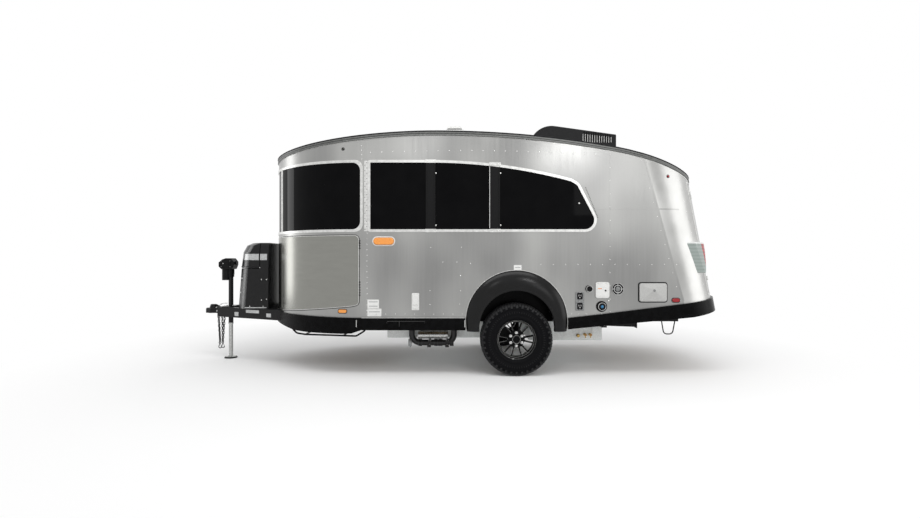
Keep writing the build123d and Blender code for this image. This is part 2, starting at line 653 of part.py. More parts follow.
# coupler: a pressed socket for the tow ball, welded between the rails, with its latch on top
COUPLER_X = -2985.0
COUPLER_LOW, COUPLER_TOP = 570.0, 632.0
SOCKET_RADIUS, SOCKET_TOP = 30.0, 615.0
HUMP_RADIUS, HUMP_TOP = 52.0, 676.0
COUPLER_TAIL_X, COUPLER_TAIL_HALF, COUPLER_TAIL_THICK = -2790.0, 27.0, 30.0
COUPLER_PLAN = [(-3050, -26), (-3050, 26), (-2975, 62), (-2862, 62), (-2862, -62), (-2975, -62)]
with BuildPart() as coupler:
    with BuildSketch(Plane.XY.offset(COUPLER_LOW)) as plan:
        Polygon(*COUPLER_PLAN, align=None)
        fillet(plan.vertices().group_by(Axis.X)[0], 20)
    extrude(amount=COUPLER_TOP - COUPLER_LOW)
    fillet(coupler.edges().group_by(Axis.Z)[-1], 16)
    with BuildSketch(Plane.XY.offset(COUPLER_TOP - 16)):
        with Locations((COUPLER_X + 22, 0)):
            Circle(HUMP_RADIUS)
    extrude(amount=HUMP_TOP - COUPLER_TOP + 16, taper=18)
    with BuildSketch(Plane.XZ.offset(-8)):
        Polygon((-2945, COUPLER_TOP - 6), (-2945, HUMP_TOP - 8), (-2925, HUMP_TOP), (-2868, COUPLER_TOP + 14),
                (-2868, COUPLER_TOP - 6), align=None)
    extrude(amount=16)
    with BuildSketch(Plane.XY.offset(COUPLER_LOW)):
        with Locations(((COUPLER_TAIL_X - 2870) / 2, 0)):
            Rectangle(2870 + COUPLER_TAIL_X, 2 * COUPLER_TAIL_HALF)
    extrude(amount=COUPLER_TAIL_THICK)
    with BuildSketch(Plane.XY.offset(COUPLER_LOW - 10)):
        with Locations((COUPLER_X, 0)):
            Circle(SOCKET_RADIUS)
    extrude(amount=SOCKET_TOP - COUPLER_LOW + 10, mode=Mode.SUBTRACT)
write(coupler.part, "coupler")

# two safety chains, doubled back and held by their hooks
LINK_LONG, LINK_WIDE, LINK_WIRE, LINK_PITCH = 46.0, 26.0, 8.0, 29.0
CHAIN_TOP_Z, CHAIN_LINKS = COUPLER_LOW - LINK_LONG / 2, 13
# x at the top, x at the foot, y of the strand
CHAIN_STRANDS = [(-2888.0, -2874.0, -13.6), (-2826.0, -2850.0, 13.6)]


def chain_link(plane):
    """One flat-sided oval link in a plane, so that its neighbours pass through it."""
    with BuildPart() as link:
        with BuildSketch(plane):
            for long, wide, mode in ((LINK_LONG, LINK_WIDE, Mode.ADD),
                                     (LINK_LONG - 2 * LINK_WIRE, LINK_WIDE - 2 * LINK_WIRE, Mode.SUBTRACT)):
                side, end, bevel = wide / 2, long / 2, wide / 3
                Polygon((-side, bevel - end), (0, -end), (side, bevel - end),
                        (side, end - bevel), (0, end), (-side, end - bevel), align=None, mode=mode)
        extrude(amount=LINK_WIRE / 2, both=True)
    return link.part


links = [chain_link(Plane.XZ), chain_link(Plane.YZ)]
chain_pieces = []
for top_x, foot_x, y in CHAIN_STRANDS:
    for count in range(CHAIN_LINKS):
        share = count / (CHAIN_LINKS - 1)
        place = Pos(top_x + share * (foot_x - top_x), y, CHAIN_TOP_Z - count * LINK_PITCH)
        chain_pieces.append(place * links[count % 2])
HOOK_TOP, HOOK_LOW = 206.0, 118.0
hook_places = [Pos(strand[1], strand[2], HOOK_TOP) for strand in CHAIN_STRANDS]
with BuildPart() as hook:
    with BuildSketch(Plane.XZ):
        Polygon((-18, 0), (18, 0), (22, -50), (4, HOOK_LOW - HOOK_TOP), (-14, HOOK_LOW - HOOK_TOP),
                (-20, -50), align=None)
    extrude(amount=7, both=True)
with BuildPart() as safety_chains:
    add(chain_pieces)
    add([place * hook.part for place in hook_places])
write(safety_chains.part, "safety_chains")

# ---------------------------------------------------------------- tongue jack
JACK_TUBE_RADIUS, JACK_BORE_RADIUS, JACK_LEG_RADIUS = 28.5, 25.5, 25.0
JACK_TUBE_LOW, JACK_TUBE_LENGTH = 430.0, 620.0
JACK_PLATE = (120.0, 240.0, 10.0)
HEAD_LOW, HEAD_TOP = 1118.0, 1256.0
with BuildPart() as jack_tube:
    with BuildSketch(Plane.XY.offset(JACK_TUBE_LOW)):
        with Locations((JACK_X, 0)):
            Circle(JACK_TUBE_RADIUS)
            Circle(JACK_BORE_RADIUS, mode=Mode.SUBTRACT)
    extrude(amount=JACK_TUBE_LENGTH)
    with BuildSketch(Plane.XY.offset(FLOOR_LOW)):
        with Locations((JACK_X, 0)):
            Rectangle(JACK_PLATE[0], JACK_PLATE[1])
            Circle(JACK_TUBE_RADIUS, mode=Mode.SUBTRACT)
    extrude(amount=JACK_PLATE[2])
write(jack_tube.part, "jack_tube")

# its electric head: rounded gear housing, motor hung ahead of the tube, cap over the hand crank
HEAD_FRONT_X, HEAD_REAR_X, HEAD_HALF = -2868.0, -2678.0, 74.0
MOTOR_X, MOTOR_RADIUS, MOTOR_LOW = -2799.0, 52.0, 980.0
CRANK_RADIUS = 26.0
with BuildPart() as jack_head:
    with BuildSketch(Plane.XZ.offset(-HEAD_HALF)) as outline:
        Polygon((HEAD_FRONT_X, HEAD_LOW + 34), (HEAD_FRONT_X, HEAD_TOP - 52),
                (HEAD_FRONT_X + 46, HEAD_TOP - 14), (-2780, HEAD_TOP), (-2712, HEAD_TOP),
                (HEAD_REAR_X, HEAD_TOP - 44), (HEAD_REAR_X, HEAD_LOW + 54), (-2700, HEAD_LOW),
                (HEAD_FRONT_X + 34, HEAD_LOW), align=None)
        fillet(outline.vertices(), 12)
    extrude(amount=2 * HEAD_HALF)
    fillet(jack_head.edges().group_by(Axis.Y)[0] + jack_head.edges().group_by(Axis.Y)[-1], 9)
    with BuildSketch(Plane.XY.offset(MOTOR_LOW)):
        with Locations((MOTOR_X, 0)):
            Circle(MOTOR_RADIUS)
    extrude(amount=HEAD_LOW - MOTOR_LOW + 10)
    with BuildSketch(Plane.XY.offset(HEAD_LOW - 68)):
        with Locations((JACK_X, 0)):
            Circle(JACK_TUBE_RADIUS + 12)
    extrude(amount=78)
    with BuildSketch(Plane.YZ.offset(HEAD_REAR_X - 10)):
        with Locations((0, HEAD_TOP - 58)):
            Circle(CRANK_RADIUS)
    extrude(amount=24)
    with BuildSketch(Plane.XY.offset(MOTOR_LOW - 10)):
        with Locations((JACK_X, 0)):
            Circle(JACK_TUBE_RADIUS)
    extrude(amount=JACK_TUBE_LOW + JACK_TUBE_LENGTH - MOTOR_LOW + 10, mode=Mode.SUBTRACT)
write(jack_head.part, "jack_head")

LEG_TOP, FOOT_RADIUS, FOOT_EDGE, FOOT_RISE = 640.0, 76.0, 6.0, 22.0
with BuildPart() as jack_leg:
    with BuildSketch(Plane.XY):
        with Locations((JACK_X, 0)):
            Circle(FOOT_RADIUS)
    extrude(amount=FOOT_EDGE)
    with BuildSketch(Plane.XY.offset(FOOT_EDGE)):
        with Locations((JACK_X, 0)):
            Circle(FOOT_RADIUS)
    extrude(amount=FOOT_RISE, taper=60)
    with BuildSketch(Plane.XY.offset(FOOT_EDGE)):
        with Locations((JACK_X, 0)):
            Circle(JACK_LEG_RADIUS)
    extrude(amount=LEG_TOP - FOOT_EDGE)
write(jack_leg.part, "jack_leg")

# ---------------------------------------------------------------- gas bottle cover
GAS_WALL, GAS_GAP = 6.0, 8.0
GAS_LID_BACK_X = -2240.0
GAS_NOSE = 190.0             # how far the rounded front reaches ahead of the straight sides
# height, x of the front, half width
GAS_SECTIONS = [(650.0, -2606.0, 350.0), (1130.0, -2572.0, 345.0), (1330.0, -2548.0, 336.0),
                (1410.0, -2505.0, 322.0), (1440.0, -2440.0, 300.0)]


def gas_outline(z, front_x, half, inset):
    """Plan of the cover at one height, open towards the body."""
    with BuildSketch(Plane.XY.offset(z)) as plan:
        with BuildLine():
            back, half = GAS_BACK_X - inset, half - inset
            front = front_x + inset
            corner = front + GAS_NOSE
            Polyline((corner, half), (back, half), (back, -half), (corner, -half))
            ThreePointArc((corner, -half), (front, 0), (corner, half))
        make_face()
    return plan.sketch


def gas_block(inset):
    """The cover's outer form moved in by inset, section by section."""
    sections = [(z - (inset if z == GAS_SECTIONS[-1][0] else 0), x, half) for z, x, half in GAS_SECTIONS]
    if inset:
        sections[0] = (sections[0][0] - GAS_GAP, sections[0][1], sections[0][2])
    faces = [gas_outline(z, front_x, half, inset).face() for z, front_x, half in sections]
    with BuildPart() as body:
        loft(faces, ruled=True)
    return body.part


gas_outer, gas_inner = gas_block(0), gas_block(GAS_WALL)
with BuildPart() as gas_shell:
    add(gas_outer)
    add(gas_inner, mode=Mode.SUBTRACT)
lid_region = block((-FAR, -FAR, GAS_SPLIT_Z + GAS_GAP), (GAS_LID_BACK_X - GAS_GAP, FAR, FAR))
keep_region = block((-FAR, -FAR, GAS_SPLIT_Z), (GAS_LID_BACK_X, FAR, FAR))
with BuildPart() as gas_cover:
    add(gas_shell.part)
    add(keep_region, mode=Mode.SUBTRACT)
write(gas_cover.part, "gas_cover")
with BuildPart() as gas_lid:
    add(gas_shell.part)
    add(lid_region, mode=Mode.INTERSECT)
write(gas_lid.part, "gas_lid")

# two gas bottles on their tray
BOTTLE_X, BOTTLE_Y, BOTTLE_RADIUS, BOTTLE_TALL = -2320.0, 165.0, 152.0, 400.0
BOTTLE_SHOULDER_RADIUS, BOTTLE_SHOULDER = 85.0, 70.0
TRAY = (260.0, 600.0, 12.0)
with BuildPart() as gas_bottles:
    for y in (-BOTTLE_Y, BOTTLE_Y):
        with BuildSketch(Plane.XY.offset(FLOOR_LOW + TRAY[2])):
            with Locations((BOTTLE_X, y)):
                Circle(BOTTLE_RADIUS)
        extrude(amount=BOTTLE_TALL - BOTTLE_SHOULDER)
        shoulder_z = FLOOR_LOW + TRAY[2] + BOTTLE_TALL - BOTTLE_SHOULDER
        with BuildSketch(Plane.XY.offset(shoulder_z)):
            with Locations((BOTTLE_X, y)):
                Circle(BOTTLE_RADIUS)
        with BuildSketch(Plane.XY.offset(shoulder_z + BOTTLE_SHOULDER)):
            with Locations((BOTTLE_X, y)):
                Circle(BOTTLE_SHOULDER_RADIUS)
        loft()
    with BuildSketch(Plane.XY.offset(FLOOR_LOW)):
        with Locations((BOTTLE_X, 0)):
            Rectangle(TRAY[0], TRAY[1])
    extrude(amount=TRAY[2])
write(gas_bottles.part, "gas_bottles")

# ---------------------------------------------------------------- axle and wheels
SPINDLE_RADIUS = 22.0
AXLE_TUBE, AXLE_HALF = 90.0, 700.0
TUBE_X, TUBE_Z = 600.0, 455.0
ARM_THICK, SPINDLE_LENGTH = 28.0, 190.0
ARM_OUTLINE = [(560, 500), (650, 500), (800, 415), (800, 355), (730, 345), (560, 410)]
PAD = (120.0, 50.0, 30.0)    # the pads that bolt the tube to the main rails
with BuildPart() as axle:
    with Locations((TUBE_X, 0, TUBE_Z)):
        Box(AXLE_TUBE, 2 * AXLE_HALF, AXLE_TUBE)
    for side in (STREET, KERB):
        with BuildSketch(Plane.XZ.offset(-side * AXLE_HALF)):
            Polygon(*ARM_OUTLINE, align=None)
        extrude(amount=-side * ARM_THICK)
        with BuildSketch(Plane.XZ.offset(-side * (AXLE_HALF + ARM_THICK))):
            with Locations((AXLE_X, AXLE_Z)):
                Circle(SPINDLE_RADIUS)
        extrude(amount=-side * SPINDLE_LENGTH)
        with Locations((TUBE_X, side * RAIL_Y, FRAME_LOW - PAD[2] / 2)):
            Box(*PAD)
write(axle.part, "axle")

TYRE_MID_Y = TYRE_FACE_Y - TYRE_WIDTH / 2
TREAD_HALF = TYRE_WIDTH / 2 - 24.0
BEAD_HALF, BEAD_SEAT = TYRE_WIDTH / 2 - 40.0, RIM_RADIUS - 6.0
GROOVE = 12.0                # how far the shoulder lugs stand above the grooves between them
LUGS = 24                    # on each shoulder
LUG_LONG, LUG_SPAN = 62.0, 70.0
TYRE_SIDES = 2 * LUGS        # one flat under each lug and one under each groove
FLAT_GROW = 1 / cos(pi / TYRE_SIDES)     # from the middle of a flat to its corners


def tyre_profile(section):
    """Flat-sided rings about the Y axis through each (y, radius), the flats' middles at the radius."""
    with BuildPart() as rings:
        for y, radius in section:
            with BuildSketch(Plane.XZ.offset(-y)):
                RegularPolygon(radius * FLAT_GROW, TYRE_SIDES, rotation=180 / TYRE_SIDES)
        loft(ruled=True)
    return rings.part


def tyre_part():
    """Tyre about the Y axis at the origin, its middle plane at Y = 0, with its shoulder lugs."""
    half = TYRE_WIDTH / 2
    # y, radius on one side of the middle plane: over the tread and shoulder, then down inside to the bead
    outside = [(TREAD_HALF, TYRE_RADIUS - GROOVE), (half, 318)]
    inside = [(BEAD_HALF, BEAD_SEAT), (half - 26, RIM_RADIUS), (half, 300)]
    outer, inner = [tyre_profile([(-y, radius) for y, radius in reversed(side)] + side)
                    for side in (outside, inside)]
    with BuildPart() as tyre:
        add(outer)
        add(inner, mode=Mode.SUBTRACT)
        with BuildSketch(Plane.YZ.offset(-LUG_LONG / 2)):
            for side in (-1, 1):
                Polygon((side * (TREAD_HALF - LUG_SPAN + 24), TYRE_RADIUS - GROOVE - 4),
                        (side * (TREAD_HALF - LUG_SPAN + 24), TYRE_RADIUS),
                        (side * TREAD_HALF, TYRE_RADIUS - 2), (side * (half - 3), TYRE_RADIUS - 40),
                        (side * (half - 14), TYRE_RADIUS - 52), align=None)
        lug_pair = extrude(amount=LUG_LONG, mode=Mode.PRIVATE)
        add([Rot(0, 360 / LUGS * count, 0) * lug_pair for count in range(LUGS)])
    return tyre.part


SPOKE_PAIRS, PAIR_SPREAD = 6, 18.0       # two spokes stand this many degrees either side of each wheel nut
SPOKE_WIDE, HUB_RADIUS, WINDOW_RADIUS = 17.0, 92.0, 188.0
DISC_FACE, DISC_THICK = 62.0, 26.0       # outer face of the disc from the middle plane
RIM_EDGE, RIM_WALL = 12.0, 9.0
NUT_CIRCLE, NUT_RADIUS, CAP_RADIUS, CAP_PROUD = 69.85, 11.0, 42.0, 26.0


def rim_window(half_angle, turn):
    """One opening between two spokes: half its angle, and where its middle points."""
    corners = []
    for radius in (HUB_RADIUS, WINDOW_RADIUS):
        lean = radians(half_angle) - asin(SPOKE_WIDE / 2 / radius)
        corners.append((radius * cos(lean), radius * sin(lean)))
    (x1, y1), (x2, y2) = corners
    with BuildSketch(Plane.XZ) as window:
        Polygon((x1, -y1), (x2, -y2), (x2, y2), (x1, y1), align=None)
        fillet(window.vertices(), 5)
    cutter = extrude(window.sketch.face(), amount=-2 * TYRE_WIDTH, both=True, mode=Mode.PRIVATE)
    return Rot(0, turn, 0) * cutter


def rim_part():
    """Alloy wheel about the Y axis, its outer face towards +Y."""
    barrel = BEAD_SEAT
    disc_back = DISC_FACE - DISC_THICK
    # y, radius: barrel outside, then the dished face, the hub and the back of the disc
    section = [(-BEAD_HALF, barrel), (BEAD_HALF, barrel), (BEAD_HALF + 8, RIM_RADIUS - 3),
               (BEAD_HALF + 8, RIM_RADIUS - RIM_EDGE), (BEAD_HALF - 8, barrel - RIM_WALL),
               (DISC_FACE, WINDOW_RADIUS + 6), (DISC_FACE - 12, HUB_RADIUS), (DISC_FACE - 12, SPINDLE_RADIUS),
               (disc_back - 12, SPINDLE_RADIUS), (disc_back - 12, HUB_RADIUS),
               (disc_back, barrel - RIM_WALL), (-BEAD_HALF, barrel - RIM_WALL)]
    windows = [rim_window(PAIR_SPREAD, 30 + 60 * pair) for pair in range(SPOKE_PAIRS)]
    windows += [rim_window(30 - PAIR_SPREAD, 60 * pair) for pair in range(SPOKE_PAIRS)]
    with BuildPart() as rim:
        with BuildSketch(Plane.YZ):
            Polygon(*section, align=None)
        revolve(axis=Axis.Y)
        disc_box = Box(2 * WINDOW_RADIUS, 2.4 * DISC_THICK, 2 * WINDOW_RADIUS, mode=Mode.PRIVATE)
        disc_only = Pos(0, DISC_FACE - DISC_THICK, 0) * disc_box
        add([window.intersect(disc_only).solid() for window in windows], mode=Mode.SUBTRACT)
        with BuildSketch(Plane.XZ.offset(-(DISC_FACE - 14))):
            with PolarLocations(NUT_CIRCLE, SPOKE_PAIRS, start_angle=30):
                RegularPolygon(NUT_RADIUS, 6)
        extrude(amount=-26)
        with BuildSketch(Plane.XZ.offset(-(DISC_FACE - 14))):
            Circle(CAP_RADIUS)
        extrude(amount=-CAP_PROUD - 2)
    return rim.part


for side, name in ((STREET, "street"), (KERB, "kerb")):
    place = Pos(AXLE_X, side * TYRE_MID_Y, AXLE_Z)
    tyre = tyre_part()
    rim = rim_part()
    if side == STREET:
        tyre, rim = mirrored(tyre), mirrored(rim)
    write(place * tyre, f"tyre_{name}")
    write(place * rim, f"rim_{name}")

# ---------------------------------------------------------------- under the floor
TANK_HALF = 525.0
FRONT_TANK = (-690.0, 420.0, 330.0)      # x from, x to, underside
REAR_TANK = (960.0, 1800.0, 300.0)
TANK_ROUND = 30.0
with BuildPart() as tanks:
    for x_low, x_high, low in (FRONT_TANK, REAR_TANK):
        with BuildSketch(Plane.YZ.offset(x_low)) as section:
            with Locations((0, (low + FLOOR_LOW) / 2)):
                Rectangle(2 * TANK_HALF, FLOOR_LOW - low)
            fillet(section.vertices().group_by(Axis.Y)[0], TANK_ROUND)
        extrude(amount=x_high - x_low)
write(tanks.part, "tanks")

# waste pipe: down from the front tank, along, and up to the valve at its rear
PIPE_Y, PIPE_Z, PIPE_RADIUS, PIPE_BEND = -612.0, 292.0, 34.0, 95.0
PIPE_FRONT_X, PIPE_REAR_X, PIPE_TOP_Z = -396.0, 85.0, 470.0
OUTLET_X, OUTLET_RADIUS = -70.0, 41.0    # the capped outlet that a hose goes on
DRAIN_TUBE = (-325.0, 15.0, 378.0, 42.0)     # x from, x to, height, radius of the metal tube above
pipe_path = [(PIPE_FRONT_X, -TANK_HALF, PIPE_TOP_Z), (PIPE_FRONT_X, PIPE_Y, PIPE_TOP_Z),
             (PIPE_FRONT_X, PIPE_Y, PIPE_Z), (PIPE_REAR_X, PIPE_Y, PIPE_Z), (PIPE_REAR_X, PIPE_Y, PIPE_TOP_Z),
             (PIPE_REAR_X, -TANK_HALF, PIPE_TOP_Z)]
VALVES = [(-190.0, 60.0), (10.0, 60.0)]  # x and size of each gate valve's body on the lower run
VALVE_BODY = 82.0
with BuildPart() as waste_pipe:
    with BuildLine():
        run = FilletPolyline(*pipe_path, radius=[42, PIPE_BEND, PIPE_BEND, 42])
    with BuildSketch(Plane(origin=run @ 0, z_dir=run % 0)):
        Circle(PIPE_RADIUS)
    sweep()
    for x, size in VALVES:
        with Locations((x, PIPE_Y, PIPE_Z)):
            Box(size / 3, VALVE_BODY, VALVE_BODY)
    with BuildSketch(Plane.YZ.offset(OUTLET_X - 24)):
        with Locations((PIPE_Y, PIPE_Z)):
            Circle(OUTLET_RADIUS)
    extrude(amount=48)
write(waste_pipe.part, "waste_pipe")

with BuildPart() as drain_tube:
    with BuildSketch(Plane.YZ.offset(DRAIN_TUBE[0])):
        with Locations((PIPE_Y, DRAIN_TUBE[2])):
            Circle(DRAIN_TUBE[3])
    extrude(amount=DRAIN_TUBE[1] - DRAIN_TUBE[0])
    for x in (DRAIN_TUBE[0] + 10, DRAIN_TUBE[1] - 10):
        with Locations((x, (PIPE_Y - TANK_HALF) / 2, DRAIN_TUBE[2] + 20)):
            Box(20, -PIPE_Y - TANK_HALF, 40)
write(drain_tube.part, "drain_tube")

# bent tubes: the guard hoop under the nose and the tow loop at the rear
HOOP_TUBE_RADIUS, LOOP_ROD_RADIUS = 10.0, 6.5
HOOP_Y = 530.0
hoop_side = [(-1790, FRAME_LOW), (-1790, 440), (-1740, 388), (-1640, 372), (-1200, 358), (-1050, 352),
             (-940, 420), (-940, FRAME_LOW)]
hoop_path = [(x, -HOOP_Y, z) for x, z in hoop_side]
loop_side = [(2480, FRAME_LOW - 1), (2505, 381), (2605, 381), (2632, FRAME_LOW - 1)]
loop_path = [(x, -RAIL_Y, z) for x, z in loop_side]


def bent_tube(points, bend, radius):
    """A round tube along straight runs joined by bends."""
    with BuildPart() as tube:
        with BuildLine():
            run = FilletPolyline(*points, radius=bend)
        with BuildSketch(Plane(origin=run @ 0, z_dir=run % 0)):
            Circle(radius)
        sweep()
    return tube.part


hoop_street = bent_tube(hoop_path, 60, HOOP_TUBE_RADIUS)
with BuildPart() as nose_hoop:
    add(hoop_street)
    add(mirrored(hoop_street))
    for x, z in hoop_side[3:5]:
        with Locations((x, 0, z)):
            Box(24, 2 * HOOP_Y, 8)
write(nose_hoop.part, "nose_hoop")

loop_street = bent_tube(loop_path, 44, LOOP_ROD_RADIUS)
with BuildPart() as tow_loops:
    add(loop_street)
    add(mirrored(loop_street))
write(tow_loops.part, "tow_loops")

# ---------------------------------------------------------------- rear stabilisers
STAB_X, STAB_Z, STAB_Y = 1790.0, 500.0, 640.0
STAB_LENGTH, STAB_ARM, STAB_END = 370.0, 50.0, 10.0
STAB_FOOT = (84.0, 70.0, 6.0)            # width, height, thickness
STAB_PIN_RADIUS = 8.0
for side, name in ((STREET, "street"), (KERB, "kerb")):
    near, far = STAB_X - STAB_END, STAB_X + STAB_LENGTH - STAB_END
    with BuildPart() as leg:
        with BuildSketch(Plane.XZ.offset(-side * STAB_Y + STAB_ARM / 2)):
            Polygon((near, STAB_Z - 10), (near, STAB_Z + 12), (far, STAB_Z + 24), (far, STAB_Z - 24),
                    align=None)
        extrude(amount=-STAB_ARM)
        with BuildSketch(Plane.YZ.offset(far)):
            with Locations((side * STAB_Y, STAB_Z)):
                Rectangle(STAB_FOOT[0], STAB_FOOT[1])
        extrude(amount=STAB_FOOT[2])
        with BuildSketch(Plane.XZ.offset(-side * STAB_Y + STAB_ARM / 2)):
            with Locations((STAB_X, STAB_Z)):
                Circle(STAB_PIN_RADIUS + 0.2)
        extrude(amount=-STAB_ARM, mode=Mode.SUBTRACT)
    write(leg.part, f"stabiliser_{name}")

CHEEK_SIZE = (60.0, 6.0, 180.0)
CHEEK_STEP, CHEEK_Z = 32.0, 560.0
with BuildPart() as stabiliser_mounts:
    for side in (STREET, KERB):
        for step_y in (-CHEEK_STEP, CHEEK_STEP):
            with Locations((STAB_X - 5, side * STAB_Y + step_y, CHEEK_Z)):
                Box(*CHEEK_SIZE)
        with Locations((STAB_X - 5, side * 632.5, FLOOR_LOW - 10)):
            Box(CHEEK_SIZE[0], 85, 20)
        with BuildSketch(Plane.XZ.offset(-side * STAB_Y + CHEEK_STEP)):
            with Locations((STAB_X, STAB_Z)):
                Circle(STAB_PIN_RADIUS)
        extrude(amount=-2 * CHEEK_STEP)
write(stabiliser_mounts.part, "stabiliser_mounts")

# ---------------------------------------------------------------- entry step
STEP_X = -460.0
GUIDE = (20.0, 330.0, 160.0)
TREAD_SIZE, RUNNER = (520.0, 260.0, 24.0), (24.0, 340.0, 40.0)
RUNNER_HALF, GUIDE_HALF = 248.0, 280.0
with BuildPart() as step_frame:
    for x in (STEP_X - GUIDE_HALF, STEP_X + GUIDE_HALF):
        with Locations((x, 790, FLOOR_LOW - GUIDE[2] / 2)):
            Box(*GUIDE)
write(step_frame.part, "step_frame")
with BuildPart() as step:
    with Locations((STEP_X, 830, 452)):
        Box(*TREAD_SIZE)
        with GridLocations(0, 44, 1, 5):
            Box(TREAD_SIZE[0] - 70, 12, TREAD_SIZE[2], mode=Mode.SUBTRACT)
    for x in (STEP_X - RUNNER_HALF, STEP_X + RUNNER_HALF):
        with Locations((x, 790, 464)):
            Box(*RUNNER)
write(step.part, "step")

# ---------------------------------------------------------------- roof fittings
# the air conditioner's hood, seen from the side: arched front, straight falling top, upright rear
AC_FRONT_X, AC_REAR_X, AC_HALF = 1000.0, 2022.0, 345.0
AC_FRONT_Z, AC_HIGH_X, AC_HIGH_Z, AC_REAR_Z = 2668.0, 1290.0, 2840.0, 2738.0
AC_FOOT, AC_ROUND = 2300.0, 12.0
LOUVRES, LOUVRE_PITCH, LOUVRE_WIDE, LOUVRE_DEEP = 12, 28.0, 13.0, 14.0
LOUVRE_FIRST_X, LOUVRE_FALL = 1640.0, 0.12
with BuildPart() as air_conditioner:
    with BuildSketch(Plane.XZ.offset(-AC_HALF)):
        with BuildLine():
            top = Line((AC_REAR_X, AC_REAR_Z), (AC_HIGH_X, AC_HIGH_Z))
            arch = TangentArc(top @ 1, (AC_FRONT_X, AC_FRONT_Z), tangent=top % 1)
            Polyline(arch @ 1, (AC_FRONT_X, AC_FOOT), (AC_REAR_X, AC_FOOT), top @ 0)
        make_face()
    extrude(amount=2 * AC_HALF)
    hood_edges = air_conditioner.edges().filter_by(lambda edge: edge.center().Z > AC_REAR_Z - 1)
    fillet(hood_edges.filter_by(lambda edge: abs(edge.center().Y) > 1 or edge.center().X > AC_REAR_X - 1),
           AC_ROUND)
    for side in (STREET, KERB):
        for count in range(LOUVRES):
            x = LOUVRE_FIRST_X + count * LOUVRE_PITCH
            top = AC_REAR_Z - 12 - LOUVRE_FALL * (x - AC_REAR_X)
            with Locations((x, side * AC_HALF, top - 50)):
                Box(LOUVRE_WIDE, 2 * LOUVRE_DEEP, 100, mode=Mode.SUBTRACT)
    add(dome_outer, mode=Mode.SUBTRACT)
write(air_conditioner.part, "air_conditioner")

VENT_BASE_HALF, VENT_WALL = 215.0, 3.0
with BuildPart() as vent_base:
    with Locations((VENT_X, 0, 2690)):
        Box(2 * VENT_BASE_HALF, 2 * VENT_BASE_HALF, 120)
        Box(2 * VENT_HALF - 2 * VENT_WALL, 2 * VENT_HALF - 2 * VENT_WALL, 200, mode=Mode.SUBTRACT)
    add(dome_outer, mode=Mode.SUBTRACT)
write(vent_base.part, "vent_base")

VENT_LID_Z, VENT_LID_RIM, VENT_LID_TOP = 2756.0, 22.0, 2858.0
VENT_LID_SIZE, VENT_SHOULDER, VENT_CREST = 440.0, 400.0, 200.0
with BuildPart() as vent_lid:
    with BuildSketch(Plane.XY.offset(VENT_LID_Z)):
        with Locations((VENT_X, 0)):
            RectangleRounded(VENT_LID_SIZE, VENT_LID_SIZE, 40)
    extrude(amount=VENT_LID_RIM)
    with BuildSketch(Plane.XY.offset(VENT_LID_Z + VENT_LID_RIM)):
        with Locations((VENT_X, 0)):
            Rectangle(VENT_SHOULDER, VENT_SHOULDER)
    with BuildSketch(Plane.XY.offset(VENT_LID_TOP)):
        with Locations((VENT_X, 0)):
            Rectangle(VENT_CREST, VENT_CREST)
    loft(ruled=True)
write(vent_lid.part, "vent_lid")

# ---------------------------------------------------------------- doors and sockets on the street side
SERVICE_PROUD = 8.0
RIDGE = 9.0                  # the service door's face rises to a ridge by this much
with BuildPart() as service_door:
    with BuildSketch(Plane.XZ.offset(BODY_HALF_WIDTH - 12)):
        with Locations((SERVICE_X, SERVICE_Z)):
            RectangleRounded(SERVICE_SIZE[0] - 2 * SERVICE_GAP, SERVICE_SIZE[1] - 2 * SERVICE_GAP, 20)
    extrude(amount=12 + SERVICE_PROUD)
    with BuildSketch(Plane.XZ.offset(BODY_HALF_WIDTH + SERVICE_PROUD)):
        with Locations((SERVICE_X, SERVICE_Z)):
            Rectangle(SERVICE_SIZE[0] - 50, SERVICE_SIZE[1] - 50)
    with BuildSketch(Plane.XZ.offset(BODY_HALF_WIDTH + SERVICE_PROUD + RIDGE)):
        with Locations((SERVICE_X, SERVICE_Z)):
            Rectangle(SERVICE_SIZE[0] - 190, 12)
    loft(ruled=True)
write(service_door.part, "service_door")

FITTING_PROUD = 9.0
# x, z, width, height, corner radius
WHITE_FITTINGS = [(1668.0, 917.0, 144.0, 168.0, 22.0), (-319.0, 794.0, 78.0, 181.0, 8.0)]
GREY_FITTINGS = [(1428.0, 795.0, 93.0, 200.0, 8.0)]
# x, z, radius
BLACK_SOCKETS = [(1527.0, 929.0, 37.0), (1660.0, 741.0, 58.0)]
ROUND_VENT = (1832.0, 927.0, 63.0)
FACE_PLANE = Plane.XZ.offset(BODY_HALF_WIDTH)
with BuildPart() as white_fittings:
    for x, z, width, height, corner in WHITE_FITTINGS:
        with BuildSketch(FACE_PLANE):
            with Locations((x, z)):
                RectangleRounded(width, height, corner)
        extrude(amount=2 * FITTING_PROUD)
write(white_fittings.part, "white_fittings")

with BuildPart() as grey_fittings:
    for x, z, width, height, corner in GREY_FITTINGS:
        with BuildSketch(FACE_PLANE):
            with Locations((x, z)):
                RectangleRounded(width, height, corner)
        extrude(amount=FITTING_PROUD)
    vent_x, vent_z, vent_radius = ROUND_VENT
    with BuildSketch(FACE_PLANE):
        with Locations((vent_x, vent_z)):
            Circle(vent_radius)
    extrude(amount=FITTING_PROUD)
    with BuildSketch(FACE_PLANE.offset(FITTING_PROUD)):
        with Locations((vent_x, vent_z)):
            Circle(0.82 * vent_radius)
            Circle(0.62 * vent_radius, mode=Mode.SUBTRACT)
            Rectangle(2 * vent_radius, 14, mode=Mode.SUBTRACT)
            Rectangle(14, 2 * vent_radius, mode=Mode.SUBTRACT)
    extrude(amount=-FITTING_PROUD + 2, mode=Mode.SUBTRACT)
write(grey_fittings.part, "grey_fittings")

